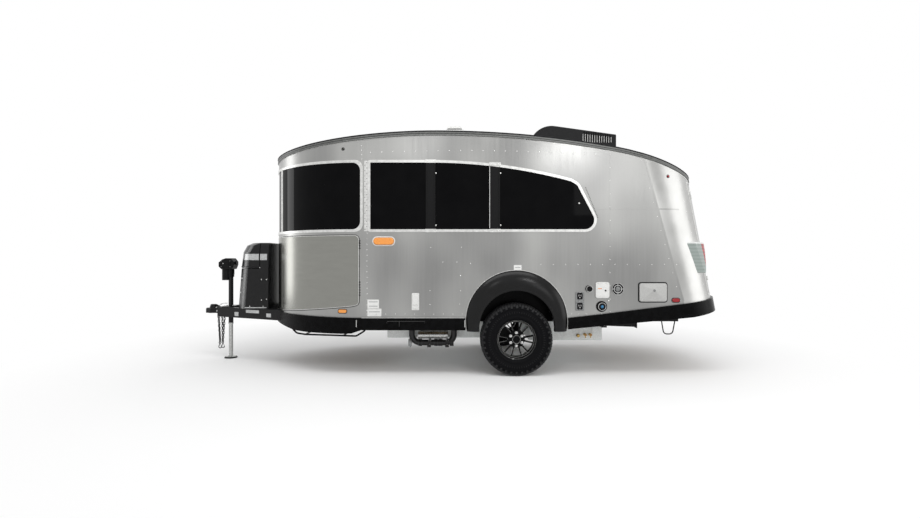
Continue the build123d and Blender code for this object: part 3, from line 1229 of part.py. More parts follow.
with BuildPart() as black_sockets:
    for x, z, radius in BLACK_SOCKETS:
        with BuildSketch(FACE_PLANE):
            with Locations((x, z)):
                Circle(radius)
        extrude(amount=FITTING_PROUD)
        with BuildSketch(FACE_PLANE.offset(FITTING_PROUD)):
            with Locations((x, z)):
                Circle(0.74 * radius)
        extrude(amount=2 * FITTING_PROUD, taper=12)
write(black_sockets.part, "black_sockets")

# ---------------------------------------------------------------- lamps
LAMP_PROUD = 45.0
LAMP_OUTLINE = [(-965, 1428), (-812, 1428), (-830, 1330), (-905, 1130), (-935, 1060)]
lamp_plan = plan_solid(-LAMP_PROUD)
lamp_outline = rear_prism(LAMP_OUTLINE, radius=12)
lamp_span = block((2300, -FAR, 0), (FAR, 0, FAR))
with BuildPart() as tail_lamp:
    add(lamp_plan)
    add(plan_outer, mode=Mode.SUBTRACT)
    add(lamp_outline, mode=Mode.INTERSECT)
    add(lamp_span, mode=Mode.INTERSECT)
with BuildPart() as tail_lamps:
    add(tail_lamp.part)
    add(mirrored(tail_lamp.part))
write(tail_lamps.part, "tail_lamps")

MARKER_PROUD = 16.0
marker_plan = plan_solid(-MARKER_PROUD)
# x from, x to, z from, z to on each side of the body
AMBER_MARKERS = [(-1149.0, -1053.0, 668.0, 708.0), (-1140.0, -1050.0, 2405.0, 2435.0)]
RED_MARKERS = [(2408.0, 2496.0, 783.0, 831.0), (2340.0, 2428.0, 2118.0, 2146.0)]
PORCH_LAMP = (-657.0, 1435.0, 216.0, 74.0, 14.0)     # x, z, width, height, corner radius, on the street wall


def markers(table):
    """Lozenge lamps on both sides of the body."""
    lamps = []
    for x_low, x_high, z_low, z_high in table:
        wide, high = x_high - x_low, z_high - z_low
        with BuildPart() as prism:
            with BuildSketch(Plane.XZ.offset(-FAR)):
                with Locations(((x_low + x_high) / 2, (z_low + z_high) / 2)):
                    RectangleRounded(wide, high, high / 2.2)
            extrude(amount=2 * FAR)
        ring = marker_plan - plan_outer
        lamps += (ring & prism.part).solids()
    return lamps


amber, red = markers(AMBER_MARKERS), markers(RED_MARKERS)
with BuildPart() as amber_markers:
    add(amber)
    lamp_x, lamp_z, wide, high, corner = PORCH_LAMP
    with BuildSketch(FACE_PLANE):
        with Locations((lamp_x, lamp_z)):
            RectangleRounded(wide, high, corner)
    extrude(amount=2 * MARKER_PROUD, taper=8)
write(amber_markers.part, "amber_markers")
with BuildPart() as red_markers:
    add(red)
write(red_markers.part, "red_markers")
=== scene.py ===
from math import asin, atan2, cos, degrees, hypot, pi, radians, sin, sqrt, tau

import bpy
from mathutils import Matrix, Vector
from mathutils.bvhtree import BVHTree


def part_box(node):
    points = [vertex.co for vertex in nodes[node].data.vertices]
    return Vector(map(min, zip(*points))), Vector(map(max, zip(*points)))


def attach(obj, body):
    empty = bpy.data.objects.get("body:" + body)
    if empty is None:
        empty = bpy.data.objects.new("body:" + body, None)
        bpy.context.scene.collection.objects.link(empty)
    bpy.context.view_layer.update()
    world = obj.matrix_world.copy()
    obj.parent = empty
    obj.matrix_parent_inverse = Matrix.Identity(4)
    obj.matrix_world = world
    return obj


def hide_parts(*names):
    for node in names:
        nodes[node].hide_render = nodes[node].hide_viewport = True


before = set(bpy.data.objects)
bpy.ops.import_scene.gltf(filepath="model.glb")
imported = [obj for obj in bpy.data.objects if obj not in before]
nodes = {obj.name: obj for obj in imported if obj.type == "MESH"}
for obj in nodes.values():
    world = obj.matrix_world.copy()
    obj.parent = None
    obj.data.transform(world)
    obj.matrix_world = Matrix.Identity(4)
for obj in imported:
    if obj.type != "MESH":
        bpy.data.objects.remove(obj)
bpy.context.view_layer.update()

# ---- Camera ----
# The caravan is seen square on to its street side from standing height, with a wide lens, so that the near
# wheel and flare look large and the roof's far edge is hidden.
SENSOR_MM, LENS_MM = 36.0, 19.8
camera_data = bpy.data.cameras.new("camera")
camera_data.sensor_width = SENSOR_MM
camera_data.lens = LENS_MM
camera = bpy.data.objects.new("camera", camera_data)
camera.location = (0.154, -6.40, 1.246)
camera.rotation_euler = (pi / 2, 0.0, 0.0)
bpy.context.scene.collection.objects.link(camera)
bpy.context.scene.camera = camera
bpy.context.scene.view_settings.view_transform = "Standard"


# ---- Floor, backdrop and lamps ----
# A pale studio sweep: the floor keeps a soft shadow, the background is white to the camera and in
# reflections, and a lamp beyond each end with one overhead give the metal bright ends and a darker middle.
def linear(code):
    """An sRGB hex colour as linear values, which is what Blender's sockets hold."""
    channels = [int(code[i:i + 2], 16) / 255 for i in (1, 3, 5)]
    return (*[c / 12.92 if c <= 0.04045 else ((c + 0.055) / 1.055) ** 2.4 for c in channels], 1.0)


def node(tree, kind, sockets=(), **settings):
    """Adds one shader node. sockets maps an input to its value, or to the output that feeds it."""
    made = tree.nodes.new("ShaderNode" + kind)
    for name, value in settings.items():
        setattr(made, name, value)
    for name, value in dict(sockets).items():
        if isinstance(value, bpy.types.NodeSocket):
            tree.links.new(value, made.inputs[name])
        else:
            made.inputs[name].default_value = value
    return made


def new_material(name, colour, roughness, metallic=0.0, specular=0.5):
    """A material with its node tree and its principled shader, set to the values of the bare surface."""
    made = bpy.data.materials.new(name)
    made.use_nodes = True
    shader = made.node_tree.nodes["Principled BSDF"]
    for socket, value in (("Base Color", linear(colour)), ("Roughness", roughness), ("Metallic", metallic),
                          ("Specular IOR Level", specular)):
        shader.inputs[socket].default_value = value
    return made, made.node_tree, shader


# camera, glossy and transmission rays see the studio's full white, and the rest a little less light
WORLD_LIGHT = 0.85
world = bpy.data.worlds.new("studio")
bpy.context.scene.world = world
world.use_nodes = True
tree = world.node_tree
tree.nodes.clear()
path = node(tree, "LightPath").outputs
shiny = node(tree, "Math", {0: path["Is Camera Ray"], 1: path["Is Glossy Ray"]}, operation="MAXIMUM")
seen = node(tree, "Math", {0: shiny.outputs[0], 1: path["Is Transmission Ray"]}, operation="MAXIMUM")
strength = node(tree, "Mix", {0: seen.outputs[0], 2: WORLD_LIGHT, 3: 1.0})
background = node(tree, "Background", {"Color": linear("#FFFFFF"), "Strength": strength.outputs[0]})
node(tree, "OutputWorld", {"Surface": background.outputs[0]})

# matt floor paint, which shows soft shadows and no reflections, and fades to white away from the caravan
FLOOR_FADE_START, FLOOR_FADE_END, FLOOR_SIZE = 3.2, 5.2, 60.0
floor_paint, tree, shader = new_material("studio_floor_matt_white_paint", "#F4F4F4", 0.9)
white = node(tree, "Emission", {"Color": linear("#FFFFFF"), "Strength": 1.0})
away = node(tree, "VectorMath", {0: node(tree, "NewGeometry").outputs["Position"]}, operation="LENGTH")
faded = node(tree, "MapRange", {"Value": away.outputs["Value"], "From Min": FLOOR_FADE_START,
                                "From Max": FLOOR_FADE_END})
to_white = node(tree, "MixShader", {0: faded.outputs[0], 1: shader.outputs[0], 2: white.outputs[0]})
tree.links.new(to_white.outputs[0], tree.nodes["Material Output"].inputs["Surface"])
bpy.ops.mesh.primitive_plane_add(size=FLOOR_SIZE)
studio_floor = bpy.context.object
studio_floor.name = "studio_floor"
studio_floor.data.materials.append(floor_paint)

# rectangular area lamps: name, place, the point it faces, width and height in metres, and watts
for name, place, aim, width, height, watts in (
        ("lamp_overhead", (0.2, -3.0, 5.0), (0.2, -0.8, 1.2), 6.0, 1.4, 90),
        ("lamp_front_end", (-8.0, 1.0, 2.3), (-1.8, -0.3, 1.6), 1.6, 4.0, 60),
        ("lamp_rear_end", (8.2, -2.6, 2.4), (2.6, -0.4, 1.4), 5.0, 4.0, 88),
        ("lamp_wheel_arch", (2.1, -4.7, 3.2), (0.8, -1.0, 0.9), 0.6, 0.35, 14),
        ("lamp_wheel_front", (-0.5, -4.7, 3.2), (0.6, -1.0, 0.9), 0.4, 0.25, 4),
        ("lamp_rear_quarter", (4.4, -8.6, 3.3), (1.9, -1.0, 1.9), 2.6, 1.8, 26)):
    lamp = bpy.data.lights.new(name, "AREA")
    lamp.shape, lamp.size, lamp.size_y, lamp.energy = "RECTANGLE", width, height, watts
    hung = bpy.data.objects.new(name, lamp)
    hung.location = place
    hung.rotation_euler = (Vector(aim) - Vector(place)).to_track_quat("-Z", "Y").to_euler()
    bpy.context.scene.collection.objects.link(hung)


# ---- Body skin ----
# The walls, nose and rear are rolled aluminium sheet, left bare under a clear film: a satin grey mirror with
# a fine upright rolling grain. Rivets hold each sheet to the ribs, and it bellies a little between its rows.
MM = 0.001


def finish(name, dark, light, roughness, grain, depth, metallic=0.0, specular=0.5, stretch=(1, 1, 1)):
    """A whole finish: its tone and roughness wander between two values over a grain in mm, depth mm high.

    A real grain under a few mm would not show from the camera, so it is drawn coarser than life.
    """
    made, tree, shader = new_material(name, light, roughness[1], metallic, specular)
    place = node(tree, "TexCoord").outputs["Object"]
    laid_out = node(tree, "Mapping", {"Vector": place, "Scale": stretch})
    noise = node(tree, "TexNoise", {"Vector": laid_out.outputs[0], "Scale": 1 / (grain * MM), "Detail": 3.0})
    share = node(tree, "MapRange", {"Value": noise.outputs["Fac"], "From Min": 0.32, "From Max": 0.68})
    tone = node(tree, "Mix", {0: share.outputs[0], 6: linear(dark), 7: linear(light)}, data_type="RGBA")
    tree.links.new(tone.outputs[2], shader.inputs["Base Color"])
    low, high = roughness
    shine = node(tree, "MapRange", {"Value": share.outputs[0], "To Min": low, "To Max": high})
    tree.links.new(shine.outputs[0], shader.inputs["Roughness"])
    bump = node(tree, "Bump", {"Height": noise.outputs["Fac"], "Strength": 1.0, "Distance": depth * MM})
    tree.links.new(bump.outputs[0], shader.inputs["Normal"])
    return made


def dress(made, *names):
    """Gives CAD pieces their finish."""
    for name in names:
        for slot in nodes[name].material_slots:
            slot.material = made


GRAIN_MM = 22.0              # the real rolling grain is under 1 mm and would not show, so it is drawn coarser
SHEET_BELLY_MM, BELLY_HIGH_MM = 520.0, 5.0
rolled_aluminium, tree, shader = new_material("aluminium_sheet_rolled_satin", "#969695", 0.30, 1.0)
place = node(tree, "TexCoord").outputs["Object"]
upright = node(tree, "Mapping", {"Vector": place, "Scale": (1, 1, 0.03)})
grain = node(tree, "TexNoise", {"Vector": upright.outputs[0], "Scale": 1 / (GRAIN_MM * MM), "Detail": 3.0})
flat = node(tree, "Mapping", {"Vector": place, "Scale": (1, 0.4, 0.6)})
belly = node(tree, "TexNoise", {"Vector": flat.outputs[0], "Scale": 1 / (SHEET_BELLY_MM * MM), "Detail": 1.0})
# the belly noise also shifts the sheet's colour between two greys in broad patches: a painted reflection,
# standing for the bright and dark blotches that the studio mirrors in the walls
wander = node(tree, "MapRange", {"Value": belly.outputs["Fac"], "From Min": 0.32, "From Max": 0.68})
streak = node(tree, "MapRange", {"Value": grain.outputs["Fac"], "From Min": 0.3, "From Max": 0.7,
                                 "To Max": 0.04})
sheet = node(tree, "Mix", {0: wander.outputs[0], 6: linear("#888887"), 7: linear("#A6A6A4")},
             data_type="RGBA")
streaked = node(tree, "Mix", {0: streak.outputs[0], 6: sheet.outputs[2], 7: linear("#D8D8D6")},
                data_type="RGBA")
tree.links.new(streaked.outputs[2], shader.inputs["Base Color"])
shine = node(tree, "MapRange", {"Value": grain.outputs["Fac"], "From Min": 0.3, "From Max": 0.7,
                                "To Min": 0.28, "To Max": 0.34})
tree.links.new(shine.outputs[0], shader.inputs["Roughness"])
bellied = node(tree, "Bump", {"Height": belly.outputs["Fac"], "Strength": 1.0,
                              "Distance": BELLY_HIGH_MM * MM})
tree.links.new(bellied.outputs[0], shader.inputs["Normal"])
dress(rolled_aluminium, "nose_shell", "wall_street", "wall_kerb", "entry_door")
# the rear's sheets are drawn lighter than the walls, a painted light for the brighter reflections on the
# rear, so the corner seam shows as a step in tone
rear_aluminium_painted_bright = finish("aluminium_sheet_rolled_painted_bright", "#A8A8A6", "#BEBEBC", (0.28, 0.34), 420.0, 3.0, 1.0)
dress(rear_aluminium_painted_bright, "rear_corners", "rear_frame", "rear_hatch")


# Seams: each sheet laps the next under a narrow flat band, closed by a row of domed solid rivets. Here and
# below, places are in metres, and the sizes of the small pieces laid on them are in mm.
def piece(name, forms, made, body="root", bend=38, replaces=()):
    """Joins forms, each its points and faces, into one object with smooth shading up to a bend in degrees."""
    points, faces = [], []
    for form_points, form_faces in forms:
        faces += [[index + len(points) for index in face] for face in form_faces]
        points += form_points
    data = bpy.data.meshes.new(name)
    data.from_pydata(points, [], faces)
    data.materials.append(made)
    data.polygons.foreach_set("use_smooth", [True] * len(data.polygons))
    data.set_sharp_from_angle(angle=radians(bend))
    data.update()
    thing = bpy.data.objects.new(name, data)
    bpy.context.scene.collection.objects.link(thing)
    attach(thing, body)
    if replaces:
        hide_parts(*replaces)


def walls(rows, count, closed=False):
    """Faces round each row of count points and up to the next row, and where closed back to the first."""
    return [[row * count + step, row * count + (step + 1) % count,
             (row + 1) % rows * count + (step + 1) % count, (row + 1) % rows * count + step]
            for row in range(rows if closed else rows - 1) for step in range(count)]


def ends(rows, count):
    """The two faces that close the first and the last row."""
    return [list(range(count))[::-1], [(rows - 1) * count + step for step in range(count)]]


def lathe(place, profile, sides=24, start=0.0, sweep=tau):
    """Turns (radius, height) pairs in mm about the local Z of place. Radius 0 closes an end."""
    points, faces = [], []
    whole = sweep > tau - 1e-6
    columns = sides if whole else sides + 1
    for radius, height in profile:
        for step in range(columns):
            angle = start + sweep * step / sides
            points.append(place @ (Vector((radius * cos(angle), radius * sin(angle), height)) * MM))
    for row in range(len(profile) - 1):
        low, high = row * columns, (row + 1) * columns
        for step in range(sides):
            after = (step + 1) % columns
            face = [low + step, low + after, high + after, high + step]
            if profile[row][0] == 0:
                del face[1]
            elif profile[row + 1][0] == 0:
                del face[2]
            faces.append(face)
    if whole and profile[0] != profile[-1]:
        for ring, (radius, _) in zip(ends(len(profile), columns), (profile[0], profile[-1])):
            faces += [ring] if radius > 0 else []
    return points, faces


def rounded(width, height, corner, steps=5):
    """Outline of a rounded rectangle about the origin."""
    outline = []
    for turn, (side, up) in enumerate(((1, 1), (-1, 1), (-1, -1), (1, -1))):
        for step in range(steps + 1):
            angle = (turn + step / steps) * pi / 2
            outline.append((side * (width / 2 - corner) + corner * cos(angle),
                            up * (height / 2 - corner) + corner * sin(angle)))
    return outline


def plate(place, width, height, corner, low, high, edge=0, steps=5):
    """A rounded plate between two heights over a place, its top edge bevelled by edge. Sizes are in mm."""
    outline = rounded(width, height, corner, steps)
    rings = [(0, low), (0, high - edge), (edge, high)] if edge else [(0, low), (0, high)]
    points = []
    for inset, height in rings:
        for spot in outline:
            kept = Vector(spot) * (1 - inset / hypot(*spot))
            points.append(place @ (Vector((kept.x, kept.y, height)) * MM))
    return points, walls(len(rings), len(outline)) + ends(len(rings), len(outline))


def tube(path, radius, sides=8, closed=False):
    """A round bar, with its radius in mm, along a path of points."""
    path = [Vector(point) for point in path]
    count, points, across = len(path), [], None
    for index in range(count):
        before = path[index - 1] if closed or index else path[index]
        after = path[(index + 1) % count] if closed or index < count - 1 else path[index]
        along = (after - before).normalized()
        if across is None:
            across = along.orthogonal().normalized()
        across = (across - along * across.dot(along)).normalized()
        beside = along.cross(across)
        for step in range(sides):
            angle = tau * step / sides
            points.append(path[index] + radius * MM * (cos(angle) * across + sin(angle) * beside))
    return points, walls(count, sides, closed) + ([] if closed else ends(count, sides))


WALL_Y = 1.013


def facing_out(x, z, side, y=WALL_Y):
    """A place on a side wall: local Z points out of the caravan and local Y up."""
    return Matrix(((-side, 0, 0, x), (0, 0, side, side * y), (0, 1, 0, z), (0, 0, 0, 1)))


def shifted(place, x, y=0, z=0):
    """A place moved along its own axes, in mm."""
    return place @ Matrix.Translation(Vector((x, y, z)) * MM)


def skin_of(*names):
    """A surface to lay pieces on, made from CAD pieces."""
    points, faces = [], []
    for name in names:
        data = nodes[name].data
        faces += [[index + len(points) for index in face.vertices] for face in data.polygons]
        points += [vertex.co.copy() for vertex in data.vertices]
    return BVHTree.FromPolygons(points, faces)


body_skin = skin_of("nose_shell", "wall_street", "wall_kerb", "rear_corners", "rear_frame", "rear_hatch",
                    "entry_door", "front_glass", "side_glass", "hatch_glass", "door_glass")


def laid(skin, start, heading):
    """Where a ray from start meets a skin: a place whose local Z leaves the surface and local Y points up."""
    hit, normal, _, _ = skin.ray_cast(Vector(start), Vector(heading))
    if hit is None:
        return None
    if normal.dot(Vector(heading)) > 0:
        normal = -normal
    across = Vector((0, 0, 1)).cross(normal).normalized()
    up = normal.cross(across)
    return Matrix(((across.x, up.x, normal.x, hit.x), (across.y, up.y, normal.y, hit.y),
                   (across.z, up.z, normal.z, hit.z), (0, 0, 0, 1)))


def on_side(x, z, side, skin=body_skin):
    return laid(skin, (x, side * 3.0, z), (0, -side, 0))


def on_nose(y, z, skin=body_skin):
    return laid(skin, (-4.0, y, z), (1, 0, 0))


def on_rear(y, z):
    return laid(body_skin, (5.0, y, z), (-1, 0, 0))


def middles(places):
    """The points of the places that were found."""
    return [found.translation for found in places if found is not None]


def ribbon(places, width, proud, closed=False):
    """A flat band along places on the skin. Its width and how far it stands proud are in mm."""
    places = [found for found in places if found is not None]
    count, points, faces = len(places), [], []
    for index, found in enumerate(places):
        here, normal = found.translation, found.col[2].to_3d()
        before = places[index - 1].translation if closed or index else here
        after = places[(index + 1) % count].translation if closed or index < count - 1 else here
        beside = normal.cross((after - before).normalized()).normalized()
        for reach, lift in ((-0.5, -0.6), (-0.46, 1.0), (0.46, 1.0), (0.5, -0.6)):
            points.append(here + beside * width * MM * reach + normal * proud * MM * lift)
    for index in range(count if closed else count - 1):
        low, high = index * 4, (index + 1) % count * 4
        faces += [[low + step, high + step, high + step + 1, low + step + 1] for step in range(3)]
    if not closed and count:
        faces += [[0, 1, 2, 3], [(count - 1) * 4 + step for step in (3, 2, 1, 0)]]
    return points, faces


def spaced(start, end, step):
    """Evenly spaced values from start to end, about a step apart."""
    count = max(1, round(abs(end - start) / step))
    return [start + (end - start) * index / count for index in range(count + 1)]


def level(start, end, step, z, side, skin=body_skin):
    """Places at one height along a side of a skin, from x to x."""
    return [on_side(x, z, side, skin) for x in spaced(start, end, step)]


# a rivet's head, as radius and height in mm
RIVET = [(5.0, -0.5), (5.0, 0.6), (4.2, 1.8), (2.6, 2.7), (0.0, 3.1)]


def rivets(places, size=1.0):
    profile = [(radius * size, height * size) for radius, height in RIVET]
    return [lathe(found, profile, 10) for found in places if found is not None]


CORNER, CORNER_GROWTH, DATUM_Z = 0.440, 0.13, 0.600
REAR_X, REAR_LEAN = 3.030, 0.145


def seam_x(z):
    """Where the rear corner begins to curve in, at each height."""
    return REAR_X - REAR_LEAN * (z - DATUM_Z) - CORNER - CORNER_GROWTH * (z - DATUM_Z)


NOSE_SEAM_X, CREASE_X = -0.893, 1.751
WAIST_Z, SILL_Z, SKIN_FOOT, FOOT_ROW_Z = 1.778, 1.1875, 0.64, 0.66
# the top row of rivets follows the roof's camber
TOP_ROW_Z, CAMBER, CAMBER_X = 2.40, 0.02, 0.2
SEAM_WIDE, SEAM_NARROW, SEAM_PROUD = 24, 14, 1.2
seams, heads = [], []


def column(side, x_at, low, high, pitch, shift=0.0, band=SEAM_WIDE):
    """A seam up the wall, with its rivets shifted to one side of it."""
    seams.append(ribbon([on_side(x_at(z), z, side) for z in spaced(low, high, 0.12)], band, SEAM_PROUD))
    heads.extend(rivets([on_side(x_at(z) + shift, z, side) for z in spaced(low, high, pitch)]))


for side in (-1, 1):
    column(side, lambda z: NOSE_SEAM_X, 2.31, 2.45, 0.05)
    column(side, lambda z: NOSE_SEAM_X + 0.012, SKIN_FOOT, 1.52, 0.06, 0.045, 10)
    column(side, seam_x, 0.80, 2.30, 0.15, -0.034, 16)
    column(side, lambda z: CREASE_X, 0.68, 2.36, 0.144, 0.0, 6)
    if side > 0:
        column(side, lambda z: 0.30, SKIN_FOOT, 1.52, 0.12, 0.0, 6)
    waist = level(1.60, seam_x(WAIST_Z) + 0.24, 0.05, WAIST_Z, side)
    seams.append(ribbon(waist, SEAM_NARROW, SEAM_PROUD))
    heads += rivets(level(1.016, 2.46, 0.1335, SILL_Z, side))
    heads += rivets(level(-0.84, 0.18, 0.10, FOOT_ROW_Z, side) + level(1.34, 1.66, 0.08, FOOT_ROW_Z, side))
    heads += rivets([on_side(x, TOP_ROW_Z - CAMBER * (x - CAMBER_X) ** 2, side)
                     for x in spaced(-0.80, 1.60, 0.12)])
WALL_RIVETS = [(-0.161, 1.370), (0.168, 1.370), (-0.029, 1.212), (0.120, 1.212), (0.266, 1.198),
               (0.160, 1.070), (-0.166, 0.909), (0.160, 0.909), (-0.166, 0.762), (0.150, 0.765)]
heads += rivets([on_side(x, z, -1) for x, z in WALL_RIVETS])
HATCH_SEAM_Y, CORNER_ROW_Y = 0.64, 0.90
for side in (-1, 1):
    seams.append(ribbon([on_rear(side * HATCH_SEAM_Y, z) for z in spaced(2.11, 2.24, 0.05)],
                        SEAM_NARROW, SEAM_PROUD))
    heads += rivets([on_rear(side * CORNER_ROW_Y, z) for z in spaced(0.86, 2.10, 0.11)])
heads += rivets([on_rear(y, 2.20) for y in spaced(-0.60, 0.60, 0.10)])
heads += rivets([on_nose(y, 2.33) for y in spaced(-0.42, 0.42, 0.084)])
# polished metal: nearly a mirror, with the faint draw lines of its die
bright_aluminium = finish("aluminium_extrusion_polished", "#CFCFCD", "#E6E6E4", (0.18, 0.30), 30.0, 0.05, 1.0)
piece("skin_seam_bands", seams, rolled_aluminium)
piece("skin_rivet_heads", heads, bright_aluminium)

# ---- Roof ----
# One sheet of white membrane, bonded over the bows, with a grey extruded moulding round its rim. The moulding
# is screwed through the wall sheet, and a black rubber insert above and a bead of sealant below close it.
# rolled membrane: matt white with a faint leather grain
white_membrane = finish("tpo_membrane_rolled_white", "#E2E2DF", "#EFEFED", (0.40, 0.50), 11.0, 0.5)
dress(white_membrane, "roof")
# painted extrusion: an even grey with a low sheen along its length
grey_extrusion = finish("aluminium_extrusion_painted_grey", "#565756", "#686967", (0.38, 0.46), 25.0, 0.02,
                        0.55)
dress(grey_extrusion, "roof_trim")
# extruded rubber: dull black, with hardly any highlight
black_rubber = finish("epdm_rubber_extruded_black", "#0D0D0E", "#17171A", (0.50, 0.60), 8.0, 0.1, 0.0, 0.1)

NOSE_RADIUS, NOSE_TURN, NOSE_START_X = 1.276, 53, -0.895
NOSE_JOINT_X = NOSE_START_X - NOSE_RADIUS * sin(radians(NOSE_TURN))
NOSE_JOINT_Y = WALL_Y - NOSE_RADIUS * (1 - cos(radians(NOSE_TURN)))
TIP_RADIUS = NOSE_JOINT_Y / cos(radians(NOSE_TURN))
TIP_X = NOSE_JOINT_X + TIP_RADIUS * sin(radians(NOSE_TURN))
CROWN_Z, CORNER_GUESS_Z = -2.005, 2.55
# each arc holds up to an x, about a centre (x, radius from the crown axis)
ROOF_ARCS = ((-0.1, -0.1, 7.1, -2.38), (1.8, -0.1, 11.0, -6.28), (9.0, 1.282, 3.0, 1.600))


def roof_z(x, y):
    """Height of the roof's surface."""
    for end_x, centre_x, radius, centre_r in ROOF_ARCS:
        if x <= end_x:
            reach = centre_r + sqrt(radius ** 2 - (x - centre_x) ** 2)
            return CROWN_Z + sqrt(reach ** 2 - y ** 2)


def arc(x, y, radius, start, end, steps):
    """Points along an arc about a centre, from one angle in degrees to another."""
    turns = [radians(start + (end - start) * step / steps) for step in range(steps + 1)]
    return [(x + radius * cos(turn), y + radius * sin(turn)) for turn in turns]


def rim_points(grow, over):
    """Points round the roof's rim, out from the walls by grow and above the roof's surface by over, in mm."""
    grow, over, z = grow * MM, over * MM, CORNER_GUESS_Z
    half = arc(TIP_X, 0, TIP_RADIUS + grow, 180, 90 + NOSE_TURN, 12)
    half += arc(NOSE_START_X, WALL_Y - NOSE_RADIUS, NOSE_RADIUS + grow, 90 + NOSE_TURN, 90, 18)[1:]
    half += [(x, WALL_Y + grow) for x in spaced(NOSE_START_X + 0.12, 1.95, 0.12)]
    for step in range(15):
        angle = pi / 2 * step / 14
        for _ in range(4):            # the corner leans, so its place and its height settle together
            corner = CORNER + CORNER_GROWTH * (z - DATUM_Z)
            x = seam_x(z) + (corner + grow) * sin(angle)
            y = WALL_Y - corner + (corner + grow) * cos(angle)
            z = roof_z(x, y)
        half.append((x, y))
    around = half + [(x, -y) for x, y in reversed(half)]
    return [Vector((x, y, roof_z(x, y) + over)) for x, y in around]


# the black cord low in the moulding is a painted shadow line: a dark strip put where the moulding's lip
# shades its groove
for name, grow, over, radius, sides, made in (
        ("insert", 8, 4, 7, 8, black_rubber), ("painted_shadow_line", 8.5, -21, 3, 6, black_rubber),
        ("bead", 5, -37, 7.5, 8, grey_extrusion)):
    piece("roof_rim_" + name, [tube(rim_points(grow, over), radius, sides, True)], made)

# ---- Windows ----
# Dark privacy glass, tinted in the melt and curved to the nose, held in bright extruded frames that are
# riveted over the wall sheet. Black uprights with hinges and stays stand between the side panes.
# float glass: nearly black, with a mirror-smooth face
tinted_glass = finish("float_glass_tinted_dark", "#040405", "#070708", (0.02, 0.05), 180.0, 0.02, 0.0, 0.05)
dress(tinted_glass, "front_glass", "side_glass", "door_glass", "hatch_glass")
# anodised metal: pale and satin, with no sharp reflection
frame_aluminium = finish("aluminium_extrusion_anodised_silver", "#C2C2C0", "#D6D6D4", (0.30, 0.38), 35.0,
                         0.03, 0.85)
dress(frame_aluminium, "window_frames")
# moulded ABS: black with a fine spark texture that spreads the light
black_abs = finish("abs_moulded_black", "#0B0B0C", "#141415", (0.36, 0.46), 5.0, 0.1, 0.0, 0.12)
dress(black_abs, "window_strips")

WINDOW_LOW, WINDOW_HIGH, UPRIGHT_HIGH = 1.562, 2.272, 2.238
MULLIONS = ((-0.210, -0.108), (0.472, 0.580))
stays, bright_bits, frame_heads = [], [], []
for side, mullions in ((-1, MULLIONS), (1, MULLIONS[1:])):
    for front, rear in mullions:
        top = WINDOW_HIGH - 0.004 if front < 0 else UPRIGHT_HIGH
        middle, high = (top + WINDOW_LOW) / 2, (top - WINDOW_LOW) / MM - 20
        stays += [plate(facing_out(x, middle, side), 10, high, 4, 0, 12, 3)
                  for x in (front + 0.006, rear - 0.006)]
        for z in (WINDOW_LOW - 0.014, top + 0.018):
            bright_bits.append(plate(facing_out((front + rear) / 2, z, side), (rear - front) / MM + 20, 36, 6,
                                     0, 14, 3))
            frame_heads += rivets([facing_out(x, z, side, WALL_Y + 0.014)
                                   for x in (front + 0.02, rear - 0.02)])
        bright_bits += [lathe(facing_out(rear + 0.004, z, side), [(9, 0), (9, 6), (5, 10), (0, 11)], 14)
                        for z in (1.605, 2.160)]
    latch = facing_out(1.420, 1.838, side, WALL_Y - 0.002)
    stays.append(plate(latch, 50, 26, 10, 0, 10, 3))
    bright_bits += [plate(facing_out(0.470, 1.905, side), 6, 660, 2, 0, 10, 2),
                    lathe(latch, [(8, 10), (8, 14), (0, 17)], 14)]

FRAME_MID = 0.014
for side in (-1, 1):
    for start, end, pitch, z in ((-0.78 if side < 0 else -0.02, 1.54, 0.075, WINDOW_LOW - FRAME_MID),
                                 (-1.80, -1.00, 0.080, WINDOW_LOW - FRAME_MID),
                                 (-1.80, -1.00, 0.080, WINDOW_HIGH + FRAME_MID)):
        frame_heads += rivets(level(start, end, pitch, z, side), 0.8)

# a riveted cover strip closes the joint of nose and wall between the front pane and the side window, and a
# row of vent slots follows the slanted rear edge of the side window
COVER_X, COVER_WIDE, COVER_THICK = -0.848, 40, 3
COVER_LOW, COVER_HIGH = WINDOW_LOW - 0.02, WINDOW_HIGH + 0.02
SLOTS, SLOTS_TOP, SLOTS_FOOT, SLOTS_OUT = 22, Vector((1.460, 1.992)), Vector((1.588, 1.678)), 0.034
slots_run = SLOTS_FOOT - SLOTS_TOP
along = slots_run.normalized()
covers, holes = [], []
for side in (-1, 1):
    covers.append(ribbon([on_side(COVER_X, z, side) for z in spaced(COVER_LOW, COVER_HIGH, 0.1)],
                         COVER_WIDE, COVER_THICK))
    for index, z in enumerate(spaced(COVER_LOW + 0.02, COVER_HIGH - 0.02, 0.028)):
        x = COVER_X + (0.010 if index % 2 else -0.010)
        holes += rivets([facing_out(x, z, side, WALL_Y + COVER_THICK * MM)], 0.8)
    lean = Matrix.Rotation(-side * atan2(along.x, -along.y), 4, "Z")
    for index in range(SLOTS):
        spot = SLOTS_TOP + slots_run * index / (SLOTS - 1) + Vector((-along.y, along.x)) * SLOTS_OUT
        holes.append(plate(facing_out(spot.x, spot.y, side) @ lean, 8, 8, 3, 0, 3))
piece("window_stay_parts", stays, black_abs)
piece("window_bright_parts", bright_bits + covers, frame_aluminium)
piece("window_rivet_heads", frame_heads, bright_aluminium)
piece("window_vent_slots", holes, black_rubber)

# ---- Stone guards ----
# Thin brushed stainless sheets over the nose, which take the stones from the road. Each is edged with a
# bright folded bead over black foam, and held by black clips along its rear edge.
# brushed sheet: a warm grey whose reflections are drawn out along the wall; its colour is set darker than
# the wall sheet, a painted shade for the darker reflections across the nose
stainless = finish("stainless_sheet_brushed_painted_shade", "#868681", "#898984", (0.23, 0.24), 40.0, 0.0, 1.0, 0.5,
                   (0.2, 0.2, 1))
dress(stainless, "stone_guards")

